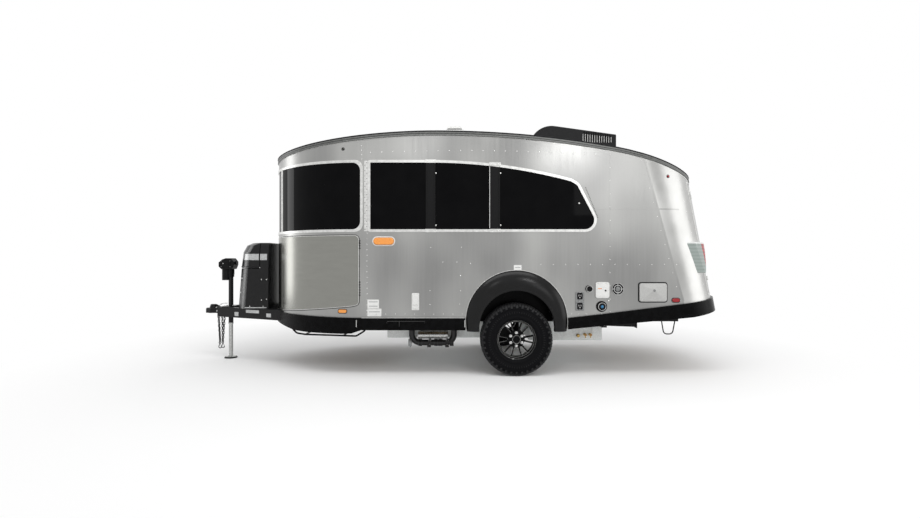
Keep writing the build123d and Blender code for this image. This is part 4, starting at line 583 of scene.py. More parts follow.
GUARD_REAR, GUARD_TOP, GUARD_FOOT, GUARD_ROUND, BEAD_IN = -0.920, 1.500, 0.793, 0.045, 0.004
LOW_EDGE_Z, LOW_EDGE_RISE = 0.752, 0.098
ROUND_X = GUARD_REAR - GUARD_ROUND
guard_line = [(x, GUARD_TOP - BEAD_IN) for x in spaced(-1.90, ROUND_X, 0.05)]
guard_line += arc(ROUND_X - BEAD_IN, GUARD_TOP - GUARD_ROUND - BEAD_IN, GUARD_ROUND, 90, 0, 6)[1:]
guard_line += [(GUARD_REAR - BEAD_IN, z) for z in spaced(1.42, 0.83, 0.1)]
guard_line += arc(ROUND_X - BEAD_IN, GUARD_FOOT + BEAD_IN, GUARD_ROUND, 0, -90, 6)[1:]
guard_line += [(x, LOW_EDGE_Z + (x - GUARD_REAR) * LOW_EDGE_RISE) for x in spaced(-1.00, -1.90, 0.05)]
beads, foam, clips = [], [], []
for side in (-1, 1):
    edge_places = [on_side(x, z, side) for x, z in guard_line]
    beads.append(tube([shifted(found, 0, 0, 4.5).translation for found in edge_places], 4, 6))
    foam.append(ribbon(edge_places, 22, 2.2))
    clips += [plate(on_side(GUARD_REAR + 0.008, z, side), 10, 14, 2, 0, 10, 2)
              for z in spaced(1.36, 1.44, 0.028) + spaced(0.86, 1.00, 0.028)]
piece("guard_edge_beads", beads, frame_aluminium)
piece("guard_edge_foam", foam, black_rubber)
piece("guard_clips", clips, black_abs)

# ---- Skirts and wheel arches ----
# Black ABS sheet, vacuum formed over a mould, which leaves soft corners and a satin surface that shines
# where it rolls over. The pieces are screwed to the chassis and sealed to the walls with a thin bead.
# formed sheet: deep black with a broad soft sheen
formed_abs = finish("abs_vacuum_formed_black_satin", "#040404", "#0A0A0B", (0.22, 0.32),
                    60.0, 0.06, 0.0, 0.05)
dress(formed_abs, "skirt_front", "skirt_sides", "skirt_rear", "wheel_wells")
# capped sheet: the same black with a tighter, brighter highlight round the crown
gloss_abs = finish("abs_vacuum_formed_black_gloss", "#030303", "#070708", (0.20, 0.26), 80.0, 0.03, 0.0, 0.24)

AXLE_X, FLARE_Z, FLARE_RADIUS, FLARE_STEPS = 0.757, 0.583, 0.542, 64
FLARE_FOOT, OPENING_Z, OPENING_RADIUS = 0.478, 0.510, 0.398
# the flare's section: share of the way from its outer edge to the opening, and y
CROWN = [(0.00, 1.004), (0.00, 1.014), (0.02, 1.020), (0.08, 1.030), (0.18, 1.043), (0.30, 1.055),
         (0.44, 1.065), (0.60, 1.072), (0.78, 1.075), (0.92, 1.072), (0.985, 1.066), (1.00, 1.056),
         (1.00, 1.000)]
drop = degrees(asin((FLARE_Z - FLARE_FOOT) / FLARE_RADIUS))
inner_drop = degrees(asin((OPENING_Z - FLARE_FOOT) / OPENING_RADIUS))
outer = arc(AXLE_X, FLARE_Z, FLARE_RADIUS, -drop, 180 + drop, FLARE_STEPS)
inner = arc(AXLE_X, OPENING_Z, OPENING_RADIUS, -inner_drop, 180 + inner_drop, FLARE_STEPS)
flares = []
for side in (-1, 1):
    points = []
    for far, near in zip(outer, inner):
        for share, y in CROWN:
            spot = Vector(far) + (Vector(near) - Vector(far)) * share
            points.append(Vector((spot.x, side * y, spot.y)))
    faces = walls(FLARE_STEPS + 1, len(CROWN)) + ends(FLARE_STEPS + 1, len(CROWN))
    flares.append((points, faces if side < 0 else [face[::-1] for face in faces]))
piece("wheel_arch_flares", flares, gloss_abs, "root", 40, ("flares",))


def wall_bar(line, side, over, radius):
    """A thin bar along (x, z) points, its middle over mm outside a side wall."""
    return tube([(x, side * (WALL_Y + over * MM), z) for x, z in line], radius, 6)


skirt_skin = skin_of("skirt_front", "skirt_sides", "skirt_rear", "flares")
seals, joint_marks, recess = [], [], []
for side in (-1, 1):
    seals += [wall_bar(arc(AXLE_X, FLARE_Z, FLARE_RADIUS + 0.002, -drop, 180 + drop, 48), side, 1, 3.2),
              wall_bar([(x, 0.622) for x in spaced(-0.89, 0.205, 0.1)], side, 25, 3)]
    joint_marks += [plate(on_side(x, 0.56, side, skirt_skin), 6, 75, 2, -4, 3, 1) for x in (-0.945, 0.205)]
    recess += [wall_bar([(-0.62, 0.565), (-0.62, 0.585), (-0.22, 0.585), (-0.22, 0.565)], side, 24.5, 2.2),
               wall_bar([(-0.49, 0.585), (-0.49, 0.53)], side, 24.5, 2.2)]
piece("skirt_seals", seals, frame_aluminium)
piece("skirt_joint_marks", joint_marks, frame_aluminium)
# scored plastic: a dull grey line where the knife has broken the gloss
grey_line = finish("abs_scored_grey", "#323232", "#444444", (0.45, 0.55), 20.0, 0.05, 0.0, 0.3)
piece("skirt_recess_lines", recess, grey_line)

# ---- Chassis and tongue ----
# Folded and welded steel rails, dipped in black paint after welding, which leaves an even gloss with soft
# edges. Blank alloy plates are riveted to the tongue's outer face, where a trailer carries its data plates.
# dipped paint: black with a slight sag that breaks up its reflections
dipped_steel = finish("mild_steel_dipped_black", "#0C0C0D", "#19191A", (0.30, 0.42), 14.0, 0.15, 0.0, 0.16)
dress(dipped_steel, "main_rails", "cross_members", "tongue_rails", "coupler", "axle", "stabiliser_mounts",
      "step_frame", "nose_hoop", "tow_loops")
# bare plate: a flat pale grey with a slight drag from the rolls
plate_alloy = finish("aluminium_plate_anodised_grey", "#A2A3A3", "#BBBCBC", (0.30, 0.42), 18.0, 0.02, 0.5)
# each plate's x and z, and its width and height in mm
TONGUE_PLATES = ((-2.333, 0.616, 213, 36), (-2.099, 0.582, 72, 44), (-2.572, 0.575, 64, 50))
tongue_skin = skin_of("tongue_rails")
blanks, blank_heads = [], []
for x, z, wide, high in TONGUE_PLATES:
    for side in (-1, 1):
        found = on_side(x, z, side, tongue_skin)
        blanks.append(plate(found, wide, high, 5, -1, 2.5, 1))
        blank_heads += rivets([shifted(found, shift, 0, 2.5) for shift in (8 - wide / 2, wide / 2 - 8)], 0.7)
piece("tongue_plates", blanks, plate_alloy)
piece("tongue_plate_rivets", blank_heads, bright_aluminium)

# ---- Coupler and safety chains ----
# A pressed coupler with its latch, a wire latch loop that runs back to the jack's plate, and two chains of
# round wire links, welded and zinc plated, that end in forged hooks.
# zinc plate: bright, with the small clouds of the bath
zinc_plate = finish("mild_steel_zinc_plated", "#9C9D9C", "#C9CAC8", (0.22, 0.36), 9.0, 0.05, 1.0)
# black zinc: a dark metal that still glints on the round of a wire
chain_zinc = finish("chain_steel_black_zinc", "#232424", "#4C4D4D", (0.28, 0.42), 9.0, 0.05, 0.9)
# blackened steel: dull, with a little metal showing through
black_wire = finish("steel_wire_black_oxide", "#161617", "#2A2A2B", (0.35, 0.50), 4.0, 0.05, 0.6)
LINK_STRAIGHT, LINK_BEND, LINK_WIRE, LINK_PITCH, LINKS, CHAIN_TOP = 0.010, 0.009, 3.92, 0.029, 13, 0.547
# x at the top and at the foot, y, and 1 for a strand that doubles back without a hook
STRANDS = ((-2.888, -2.874, -0.0136, 0), (-2.826, -2.850, 0.0136, 0),
           (-2.912, -2.887, 0.0180, 1), (-2.846, -2.838, -0.0170, 1))
HOOK_TOP, HOOK_FOOT = 0.206, 0.118
LINK_LINE = arc(0, LINK_STRAIGHT, LINK_BEND, 0, 180, 6) + arc(0, -LINK_STRAIGHT, LINK_BEND, 180, 360, 6)
links, hooks = [], []
for top_x, foot_x, y, doubled in STRANDS:
    for count in range(LINKS - doubled):
        middle = Vector((top_x + (foot_x - top_x) * count / (LINKS - 1), y, CHAIN_TOP - count * LINK_PITCH))
        across = Vector((0, 1, 0)) if (count + doubled) % 2 else Vector((1, 0, 0))
        line = [middle + across * out + Vector((0, 0, up)) for out, up in LINK_LINE]
        links.append(tube(line, LINK_WIRE, 8, True))
    if doubled:
        continue
    eye, bowl = Vector((foot_x - 0.003, y, HOOK_TOP - 0.014)), Vector((foot_x + 0.001, y, HOOK_FOOT + 0.022))
    hooks.append(tube([(x, y, z) for x, z in arc(eye.x, eye.z, 0.011, 0, 330, 11)], 4.2, 8, True))
    shank = [eye + Vector((0, 0, -0.011)), eye + Vector((-0.004, 0, -0.024))]
    hooks.append(tube(shank + [bowl + Vector((0.017 * cos(radians(turn)), 0, 0.0165 * sin(radians(turn))))
                               for turn in range(170, 391, 20)], 5.2))
    hooks.append(tube([eye + Vector((0.006, 0, -0.010)), bowl + Vector((0.014, 0, 0.012))], 2.6, 6))
piece("chain_links", links, chain_zinc, replaces=("safety_chains",))
piece("chain_hooks", hooks, chain_zinc, replaces=("safety_chains",))


def standing(x, y, z=0.0):
    """An upright place, with its axes along those of the caravan."""
    return Matrix.Translation((x, y, z))


bail = [(-2.880, 0.020, 0.664), (-2.862, 0.022, 0.680), (-2.825, 0.022, 0.688), (-2.796, 0.018, 0.688),
        (-2.788, 0.008, 0.688)]
latch_parts = [lathe(facing_out(-2.900, 0.640, -1, 0), [(7, -60), (7, 60)], 12),
               plate(standing(-2.895, 0.038), 60, 34, 12, 632, 640, 2),
               tube(bail + [(x, -y, z) for x, y, z in reversed(bail)], 2.6)]
latch_parts += [lathe(facing_out(-2.885, 0.598, side, 0.062), [(12, -2), (12, 7), (10, 9), (0, 9)], 6)
                for side in (-1, 1)]
piece("coupler_latch_parts", latch_parts, zinc_plate)
piece("coupler_socket_lip", [lathe(standing(-2.985, 0, 0.570), [(31, 0), (33, -4), (28, -4), (26, 0)], 32)],
      black_wire)

# ---- Tongue jack ----
# An electric jack: a moulded head with its switch panel over a glossy painted tube, and a plated inner leg
# that runs down to a pressed foot.
dress(black_abs, "jack_head")
# gloss paint: a hard narrow highlight down the tube
gloss_paint = finish("steel_tube_gloss_black_paint", "#0A0A0B", "#131314", (0.10, 0.16),
                     60.0, 0.03, 0.0, 0.25)
dress(gloss_paint, "jack_tube")
dress(zinc_plate, "jack_leg")
JACK_X = -2.742
head_skin = skin_of("jack_head", "jack_tube")
panels, jack_bright = [], []
for side in (-1, 1):
    face = on_side(-2.775, 1.186, side, head_skin)
    panels += [plate(face, 130, 90, 14, -2, 5, 3), plate(shifted(face, 24), 42, 30, 6, 3, 10, 3)]
    jack_bright += rivets([shifted(face, across, up, 5) for up in (-36, 36) for across in (-55, 55)], 0.8)
    jack_bright.append(lathe(shifted(face, -30, 4), [(7, 3), (7, 9), (0, 10)], 14))
jack = standing(JACK_X, 0)
panels.append(lathe(jack, [(28.7, 1018), (36, 1020), (38, 1030), (38, 1048), (28.7, 1050)], 28))
jack_bright.append(lathe(jack, [(28.7, 430), (31, 431), (31, 444), (28.7, 445)], 28))
jack_bright += [lathe(standing(x, y), [(11, 655), (11, 664), (9, 666), (0, 666)], 6)
                for x, y in arc(JACK_X, 0, 0.046, 90, 330, 2)]
foot_section = [(76.5, 0.8), (77, 10), (72, 15), (40, 19), (25.8, 20), (25.8, 0.8), (76.5, 0.8)]
piece("jack_foot_paint", [lathe(jack, foot_section, 36)], dipped_steel, "jack_leg")
piece("jack_head_panels", panels, black_abs)
piece("jack_bright_parts", jack_bright, zinc_plate)

# ---- Gas cover ----
# A thick black polyethylene cover, moulded in two halves, with a hinged lid over the bottles. Each half has
# a blank alloy plate, and straps and screws hold the cover to the tongue.
# moulded polyethylene: waxy black, with broad highlights that waver with the wall of the mould
moulded_pe = finish("polyethylene_rotomoulded_black", "#070708", "#101011", (0.18, 0.26),
                    30.0, 0.06, 0.0, 0.26)
dress(moulded_pe, "gas_cover", "gas_lid")
# stoved enamel: a clean glossy white
enamel_white = finish("steel_bottle_white_enamel", "#D9D9D6", "#E6E6E3", (0.20, 0.28), 40.0, 0.1)
dress(enamel_white, "gas_bottles")
gas_skin = skin_of("gas_cover", "gas_lid")
PLATE_Z, PLATE_HIGH, RIM_Z = 1.270, 78, 1.152
SCREW_SPOTS = ((-2.221, 1.000), (-2.160, 1.000), (-2.221, 0.755), (-2.160, 0.765), (-2.360, 0.680),
               (-2.200, 0.680))
lid_plates, cover_parts, cover_screws, straps = [], [], [], []
for side in (-1, 1):
    lid_plates.append(ribbon(level(-2.452, -2.256, 0.02, PLATE_Z, side, gas_skin), PLATE_HIGH, 2.5))
    # the other half's plate, and the moulded rib along the cover's foot
    cover_parts += [ribbon(level(-2.240, -2.158, 0.02, PLATE_Z, side, gas_skin), PLATE_HIGH, 2.5),
                    ribbon(level(-2.42, -2.16, 0.03, 0.664, side, gas_skin), 12, 3)]
    cover_screws += rivets([on_side(x, z, side, gas_skin) for x, z in SCREW_SPOTS], 1.3)
    straps += [ribbon(level(x - 0.024, x + 0.024, 0.012, z, side, gas_skin), 16, 3)
               for x, z in ((-2.497, 1.012), (-2.523, 0.839))]
piece("gas_lid_plates", lid_plates, plate_alloy, "gas_lid")
piece("gas_cover_plates", cover_parts, plate_alloy)
piece("gas_cover_screws", cover_screws, bright_aluminium)
piece("gas_cover_straps", straps, plate_alloy)
# the lid's rolled rim and its rubber catch
rim = level(-2.262, -2.42, 0.03, RIM_Z, -1, gas_skin)
rim += [on_nose(y, RIM_Z, gas_skin) for y in spaced(-0.30, 0.30, 0.04)]
rim += level(-2.42, -2.262, 0.03, RIM_Z, 1, gas_skin)
piece("gas_lid_rim", [tube(middles(rim), 7), plate(on_nose(0, 1.185, gas_skin), 46, 60, 10, -2, 12, 4)],
      moulded_pe, "gas_lid")
piece("gas_cover_catch", [plate(on_nose(0, 1.100, gas_skin), 40, 34, 8, -2, 14, 4)], moulded_pe)
valve_section = [(22, 1050), (22, 1074), (30, 1076), (30, 1090), (24, 1096), (0, 1096)]
piece("gas_bottle_valves", [lathe(standing(-2.320, side * 0.165), valve_section, 20) for side in (-1, 1)],
      bright_aluminium)

# ---- Tyres ----
# All-terrain tyres, moulded in segments: a rounded carcass with staggered tread blocks, whose shoulders run
# down over the sidewall. The rubber is dull black, a little browner where the mould has left its bloom.
# sidewall rubber: near black and dull
tread_rubber = finish("rubber_moulded_black", "#08080A", "#0F0F11", (0.50, 0.65), 12.0, 0.3, 0.0, 0.06)
# the blocks are drawn in a greyer rubber than the carcass, a painted highlight on the tread, so they stand
# out from the carcass
lug_rubber_painted_highlight = finish("rubber_moulded_black_painted_highlight", "#19191A", "#2B2B2C", (0.45, 0.60), 9.0, 0.3, 0.0, 0.20)
WHEEL_X, WHEEL_Z, WHEEL_Y = 0.757, 0.387, 0.9275
# radius and height across the tyre, both in mm
CARCASS = [(205, -88), (213, -104), (232, -112), (262, -120.5), (305, -121.5), (335, -117.5), (360, -109),
           (372, -94), (374, 0), (372, 94), (360, 109), (335, 117.5), (326, 118.5), (324, 117), (316, 117.2),
           (314, 120.2), (305, 120.8), (272, 120.5), (268, 118), (250, 116.5), (246, 118.5), (236, 117),
           (226, 111), (214, 105), (205, 88), (205, -88)]
# sections of the tread blocks: distance from the tyre's middle and radius, in mm
SHOULDER_LUG = [(58, 386.8), (96, 382), (113, 369), (122.2, 340), (116, 338), (104, 362), (58, 372)]
SHORT_LUG = [(58, 386.8), (96, 382), (112, 369), (116.5, 356), (104, 362), (58, 372)]
RUNNER_LUG = [(4, 386.8), (50, 386.8), (47, 372), (6, 372)]
# each row's sections in turn, its count of blocks, the share of its pitch to either side, and their slant
TREAD_ROWS = (((SHOULDER_LUG, SHORT_LUG), 76, 0.36, 0.06), ((RUNNER_LUG, RUNNER_LUG), 48, 0.38, 0.10))
TREAD_HALF = 100


def lug(place, section, middle, half, mirror, slant):
    """One tread block: its section swept round half each way of a middle angle."""
    points = []
    for angle in (middle - half, middle, middle + half):
        for across, radius in section:
            turn = angle + slant * (across - section[0][0]) / TREAD_HALF
            points.append(place @ (Vector((radius * cos(turn), radius * sin(turn), mirror * across)) * MM))
    faces = walls(3, len(section)) + ends(3, len(section))
    return points, faces if mirror < 0 else [face[::-1] for face in faces]


def turned(place, angle, x=0, y=0):
    """A place turned about its own Z by degrees, then moved along its own axes in mm."""
    return shifted(place @ Matrix.Rotation(radians(angle), 4, "Z"), x, y)


def ring_of_blocks(place, count, radius, *size):
    """The same small plate at even steps round a circle."""
    return [plate(turned(place, 360 * step / count, radius), *size) for step in range(count)]


wheels = [(facing_out(WHEEL_X, WHEEL_Z, side, WHEEL_Y), side, "wheel_" + end, end)
          for side, end in ((-1, "street"), (1, "kerb"))]
for place, side, body, end in wheels:
    blocks = []
    for mirror in (-1, 1):
        for sections, count, share, slant in TREAD_ROWS:
            pitch, stagger = tau / count, 0.5 if mirror > 0 else 0
            for index in range(count):
                middle = pitch * (index + stagger)
                blocks.append(lug(place, sections[index % 2], middle, pitch * share, mirror, slant))
    # moulded ribs round the middle of the sidewall
    blocks += ring_of_blocks(place, 72, 292, 20, 3, 1.2, 119, 121.8, 0.5, 2)
    tyre = ("tyre_" + end,)
    piece("tyre_carcass_" + end, [lathe(place, CARCASS, 96)], tread_rubber, body, 50, tyre)
    piece("tyre_tread_" + end, blocks, lug_rubber_painted_highlight, body, 30, tyre)

# ---- Rims ----
# Cast alloy rims in gloss black paint. The edges of the spokes and the outer lip are turned bright after
# painting, six plated nuts hold each rim, and a moulded cap closes its hub.
# gloss paint on a casting: deep black with small sharp highlights
cast_alloy = finish("cast_alloy_gloss_black_paint", "#030304", "#080809", (0.12, 0.18), 22.0, 0.05, 0.0, 0.07)
dress(cast_alloy, "rim_street", "rim_kerb")
# turned metal: fine bright lines against the paint
turned_alloy = finish("cast_alloy_turned_bright", "#767675", "#9A9A98", (0.16, 0.28), 10.0, 0.03, 1.0)
# chrome plate: a clear mirror
plated_nut = finish("steel_chrome_plated", "#D0D0CF", "#E4E4E3", (0.06, 0.12), 15.0, 0.02, 1.0)
RIM_FACE, SPOKE_EDGE, NUT_CIRCLE, STEM_CIRCLE = 62, 7.3, 69.85, 180
# closed sections of the turned rings, in mm, with their steps
TURNED_RINGS = (([(203, 88.5), (206, 91.2), (210.5, 91.5), (212, 89), (203, 88.5)], 96),
                ([(188.5, 60), (190, 63.2), (192.5, 63.2), (194, 60), (188.5, 60)], 72),
                ([(44, 74.5), (44.5, 76.8), (41, 77.5), (39.5, 76), (44, 74.5)], 48))
for place, side, body, end in wheels:
    edges, nuts = [], []
    for angle in range(30, 390, 60):
        for spread, lift in ((-18, -SPOKE_EDGE), (18, SPOKE_EDGE)):
            spoke = turned(place, angle + spread, 143, lift)
            edges.append(plate(spoke, 84, 2, 0.8, RIM_FACE - 1, RIM_FACE + 1, 0.3, 2))
        stud = turned(place, angle, NUT_CIRCLE)
        nuts += [lathe(stud, [(15, 60), (15, 63.5), (12.5, 64), (12.5, 64)], 20),
                 lathe(stud, [(11.2, 62), (11.2, 74), (8.5, 77.5), (0, 78.5)], 6)]
    edges += [lathe(place, section, steps) for section, steps in TURNED_RINGS]
    valve = Vector((143 * side, -121, 0)).normalized() * STEM_CIRCLE
    stem = shifted(place, valve.x, valve.y)
    edges.append(lathe(stem, [(5, 55), (5, 74), (6.2, 75), (6.2, 88), (0, 89)], 12))
    cap = [lathe(place, [(39.5, 74), (39.5, 76.5), (30, 79), (15, 80.2), (0, 80.5)], 40)]
    cap += ring_of_blocks(place, 8, 52, 12, 6, 2, 60, 65.5, 1, 3)
    piece("rim_turned_edges_" + end, edges, turned_alloy, body, 40)
    piece("rim_nuts_" + end, nuts, plated_nut, body, 40)
    piece("rim_cap_" + end, cap, cast_alloy, body, 40)

# ---- Wall fittings ----
# Small moulded covers, sockets and vents are screwed over holes in the street wall: a fill door, two outlets,
# a water inlet, a round vent and the service door. Blank white labels mark the wall round the wheel.
# moulded ASA: an opaque white with a low sheen
asa_white = finish("asa_moulded_white", "#CDCDCB", "#D9D9D7", (0.30, 0.38), 9.0, 0.1)
dress(asa_white, "white_fittings", "vent_base", "vent_lid")
# die cast zinc: a mid grey, between paint and metal
grey_zinc = finish("zinc_die_cast_grey", "#6F7070", "#8C8D8D", (0.30, 0.42), 12.0, 0.1, 0.6)
dress(grey_zinc, "grey_fittings")
dress(black_abs, "black_sockets")
# vinyl film: flat even colour, with a dull shine
label_film = finish("vinyl_film_white", "#D2D2D0", "#DEDEDC", (0.34, 0.42), 30.0, 0.02)
grey_ink = finish("vinyl_film_grey", "#9A9B9B", "#AFB0B0", (0.38, 0.46), 20.0, 0.02)
orange_film = finish("vinyl_film_orange", "#C9722A", "#DD8436", (0.32, 0.40), 14.0, 0.02)
# moulded polypropylene: a clear strong blue
blue_plastic = finish("polypropylene_moulded_blue", "#1B5C86", "#2A7BA8", (0.28, 0.36), 14.0, 0.05)
fitting_skin = skin_of("wall_street", "white_fittings", "grey_fittings", "black_sockets", "service_door")


def on_fitting(x, z):
    return on_side(x, z, -1, fitting_skin)


# each label's x and z, and its width, height and corner in mm; then the bands printed on them
LABELS = ((-0.770, 0.764, 122, 100, 6), (-0.757, 0.677, 149, 83, 6), (0.768, 1.156, 82, 51, 4))
BANDS = ((-0.770, 0.790, 94), (-0.770, 0.744, 94), (-0.757, 0.684, 120), (0.768, 1.156, 60))
piece("wall_labels", [plate(on_side(x, z, -1), *size, -1, 1.2) for x, z, *size in LABELS], label_film)
piece("wall_label_bands", [plate(on_side(x, z, -1), wide, 10, 2, 0.8, 1.8) for x, z, wide in BANDS], grey_ink)

inserts, white_details, metal_details = [], [], []
# the outlet plate: two black outlets, each with its two slots and a round hole
for outlet in (on_fitting(1.428, 0.852), on_fitting(1.428, 0.745)):
    inserts.append(plate(outlet, 58, 72, 12, -1, 4, 1))
    metal_details += [plate(shifted(outlet, shift, 6), 4, 18, 1, 3, 4.8, 0, 2) for shift in (-11, 11)]
    metal_details.append(lathe(shifted(outlet, 0, -16), [(5, 3), (5, 4.8), (0, 4.8)], 12))
metal_details += rivets([on_fitting(1.428, z) for z in (0.798, 0.888, 0.706)], 0.7)
# the black power inlet has an open mouth with a raised ring
inlet = on_fitting(1.527, 0.929)
metal_details.append(lathe(inlet, [(30, 0), (31, 3), (34, 3), (35, 0), (30, 0)], 32))
inserts.append(plate(shifted(inlet, 0, 24), 20, 12, 3, 0, 10, 3))
# the white fill door has a hinge, a lock and a finger lip
door = on_fitting(1.668, 0.917)
white_details.append(plate(door, 120, 144, 14, -1, 3, 1.5))
white_details += [plate(shifted(door, shift, 74), 26, 12, 4, 0, 6, 2) for shift in (-40, 40)]
inserts.append(lathe(shifted(door, 30, -6), [(9, 2), (9, 6), (6, 7.5), (0, 7.5)], 18))
piece("fill_door_mark", [plate(shifted(door, -29, 15), 40, 7, 2, 2.5, 3.8)], orange_film)
# the round vent: two rings of four slots about a hub
vent = on_fitting(1.832, 0.927)
for low, high in ((44, 59), (25.5, 35.5)):
    inserts += [lathe(vent, [(low, 0), (low, 1.6), (high, 1.6), (high, 0)], 10, radians(start), radians(74))
                for start in range(8, 360, 90)]
metal_details += [lathe(vent, [(59, 0), (60, 3), (62.5, 3), (63, 0), (59, 0)], 40),
                  lathe(vent, [(38, 0), (38.5, 3), (42.5, 3), (43, 0), (38, 0)], 40)]
piece("round_vent_hub", [lathe(vent, [(24, 0), (23.5, 4), (20, 5), (0, 5)], 28)], grey_zinc)
# the round water inlet: a pale ring with a blue centre
water = on_fitting(1.660, 0.741)
metal_details.append(lathe(water, [(36, 0), (38, 4), (41, 4), (43, 0), (36, 0)], 36))
piece("water_inlet_centre", [lathe(water, [(15, 0), (15, 6), (10, 9), (0, 9)], 24)], blue_plastic)
# the slim white cover ahead of the wheel is a moulded inlet with a lid and a lip
cover = on_fitting(-0.319, 0.794)
white_details += [plate(shifted(cover, 0, 14), 56, 100, 6, -1, 7, 4),
                  plate(shifted(cover, 0, -64), 50, 18, 6, -1, 10, 4)]
metal_details += rivets([shifted(cover, 0, shift) for shift in (-82, 82)], 0.8)
metal_details.append(lathe(on_side(1.737, 0.803, -1), [(7, 0), (7, 3), (4, 4), (0, 4)], 14))
piece("fitting_black_details", inserts, black_rubber)
piece("fitting_white_details", white_details, asa_white)
piece("fitting_metal_details", metal_details, bright_aluminium)

# ---- Service door ----
# A white moulded door on a white moulded frame. Four flats run in from its edges to a lock, which throws a
# bar behind the frame.
# shaded ASA: a duller white, drawn darker than the other white fittings as a painted shade over the whole
# door, so that its four flats read by the light on them
shaded_asa = finish("asa_moulded_white_painted_shade", "#A6A6A4", "#AFAFAD", (0.36, 0.44), 12.0, 0.05)
dress(shaded_asa, "service_door")
SERVICE_X, SERVICE_Z = 2.206, 0.891
leaf = on_fitting(SERVICE_X, SERVICE_Z)
lock = shifted(leaf, 0, 22, 34)
edge = rounded(290, 195, 24, 4)
points = [shifted(leaf, x, y, -1).translation for x, y in edge]
points += [shifted(leaf, x * 0.975, y * 0.965, 3).translation for x, y in edge] + [lock.translation]
count = len(edge)
faces = walls(2, count) + [[count + step, count + (step + 1) % count, 2 * count] for step in range(count)]
faces.append(list(range(count))[::-1])
piece("service_door_flats", [(points, faces)], shaded_asa, "service_door", 4)
# the black rubber gasket round the door is a real seal and also a painted shadow line at the door's edge; the
# dark plate behind the door is its pan
wall_face = facing_out(SERVICE_X, SERVICE_Z, -1)
gasket_and_shadow = [shifted(wall_face, x, y, 2).translation for x, y in rounded(304, 209, 26)]
piece("service_door_gasket_and_shadow", [tube(gasket_and_shadow, 4.8, 8, True), plate(wall_face, 286, 191, 20, -12.5, -12.1)],
      black_rubber)
piece("service_door_lock", [lathe(lock, [(13, -6), (13, 2), (10, 4), (0, 4)], 22),
                            plate(lock, 4, 14, 1.5, 3, 4.8, 0, 2)], grey_zinc, "service_door")

# ---- Lamps ----
# Acrylic lenses, moulded with fine ribs inside and welded to their housings. The porch lamp is a long amber
# bar in a white rim; small amber and red markers show the caravan's length.
# moulded acrylic: a clear colour under a gloss skin, broken up by the ribs behind it
amber_acrylic = finish("acrylic_moulded_amber", "#D98A3A", "#EE9C4C", (0.12, 0.20), 6.0, 0.3)
red_acrylic = finish("acrylic_moulded_red", "#7A1015", "#A01B22", (0.10, 0.18), 6.0, 0.3)
smoked_lens = finish("acrylic_moulded_smoke_dark", "#24241F", "#34342E", (0.12, 0.18), 20.0, 0.1, 0.0, 0.3)
PORCH_X, PORCH_Z, PORCH_PROUD, RIM_PROUD = -0.657, 1.435, 0.032, 0.006
porch_rim = middles([on_side(PORCH_X + x * MM, PORCH_Z + y * MM, -1) for x, y in rounded(230, 88, 43, 8)])
piece("porch_lamp_rim", [tube([(spot.x, -WALL_Y - RIM_PROUD, spot.z) for spot in porch_rim], 7.5, 8, True)],
      asa_white)
porch = facing_out(PORCH_X, PORCH_Z, -1, WALL_Y + PORCH_PROUD)
porch_bits = [plate(porch, 216, 74, 36.5, -33, 0, 10, 8)]
porch_bits += [plate(shifted(porch, shift), 6, 46, 2, -2, 1.6) for shift in (-66, -22, 22, 66)]
piece("porch_lamp_lens", porch_bits, amber_acrylic, "root", 30, ("amber_markers",))
# each marker's x and z, and its width and height in mm
for lens, kind, slot, marks in (
        (amber_acrylic, "amber", "amber_lens", ((-1.101, 0.688, 90, 36),)),
        (smoked_lens, "smoke", "amber_lens", ((-1.095, 2.420, 20, 20),)),
        (red_acrylic, "red", "lamp_lens", ((2.452, 0.807, 80, 40), (2.384, 2.132, 22, 22)))):
    lenses, rims = [], []
    for side in (-1, 1):
        for x, z, wide, high in marks:
            lenses.append(plate(on_side(x, z, side), wide, high, high * 0.49, -2, 12, 5, 6))
            around = rounded(wide + 8, high + 8, high * 0.5, 6)
            rim = [on_side(x + across * MM, z + up * MM, side) for across, up in around]
            rims.append(tube(middles(rim), 3.2, 6, True))
    piece("marker_lenses_" + kind, lenses, lens, "root", 30,
          ("red_markers" if kind == "red" else "amber_markers",))
    piece("marker_rims_" + kind, rims, black_abs)

# the tail lamps are welded from a red lens behind and a smoke grey one that wraps on to the side, under a
# pale cap; the real ribs in them are about 1 mm and would not show, so they are drawn coarser
SMOKE_FROM_Y, CAP_Z, LENS_RIB_MM = 0.890, 1.413, 6.0
two_tone, tree, shader = new_material("acrylic_welded_red_and_smoke", "#8E1519", 0.14)
place = node(tree, "TexCoord").outputs["Object"]
axes = node(tree, "SeparateXYZ", {0: place})
outward = node(tree, "Math", {0: axes.outputs["Y"]}, operation="ABSOLUTE")
wraps = node(tree, "Math", {0: outward.outputs[0], 1: SMOKE_FROM_Y}, operation="GREATER_THAN")
capped = node(tree, "Math", {0: axes.outputs["Z"], 1: CAP_Z}, operation="GREATER_THAN")
fine = node(tree, "TexWave", {"Vector": place, "Scale": 1 / (LENS_RIB_MM * MM) / 20, "Distortion": 0.0},
            bands_direction="Z")
reds = node(tree, "Mix", {0: fine.outputs["Fac"], 6: linear("#7A1015"), 7: linear("#A81C23")},
            data_type="RGBA")
smoke = node(tree, "Mix", {0: fine.outputs["Fac"], 6: linear("#868F8B"), 7: linear("#919A96")},
             data_type="RGBA")
lens = node(tree, "Mix", {0: wraps.outputs[0], 6: reds.outputs[2], 7: smoke.outputs[2]}, data_type="RGBA")
whole = node(tree, "Mix", {0: capped.outputs[0], 6: lens.outputs[2], 7: linear("#D4D6D4")}, data_type="RGBA")
tree.links.new(whole.outputs[2], shader.inputs["Base Color"])
ribbed = node(tree, "Bump", {"Height": fine.outputs["Fac"], "Strength": 0.6, "Distance": 0.6 * MM})
tree.links.new(ribbed.outputs[0], shader.inputs["Normal"])
dress(two_tone, "tail_lamps")

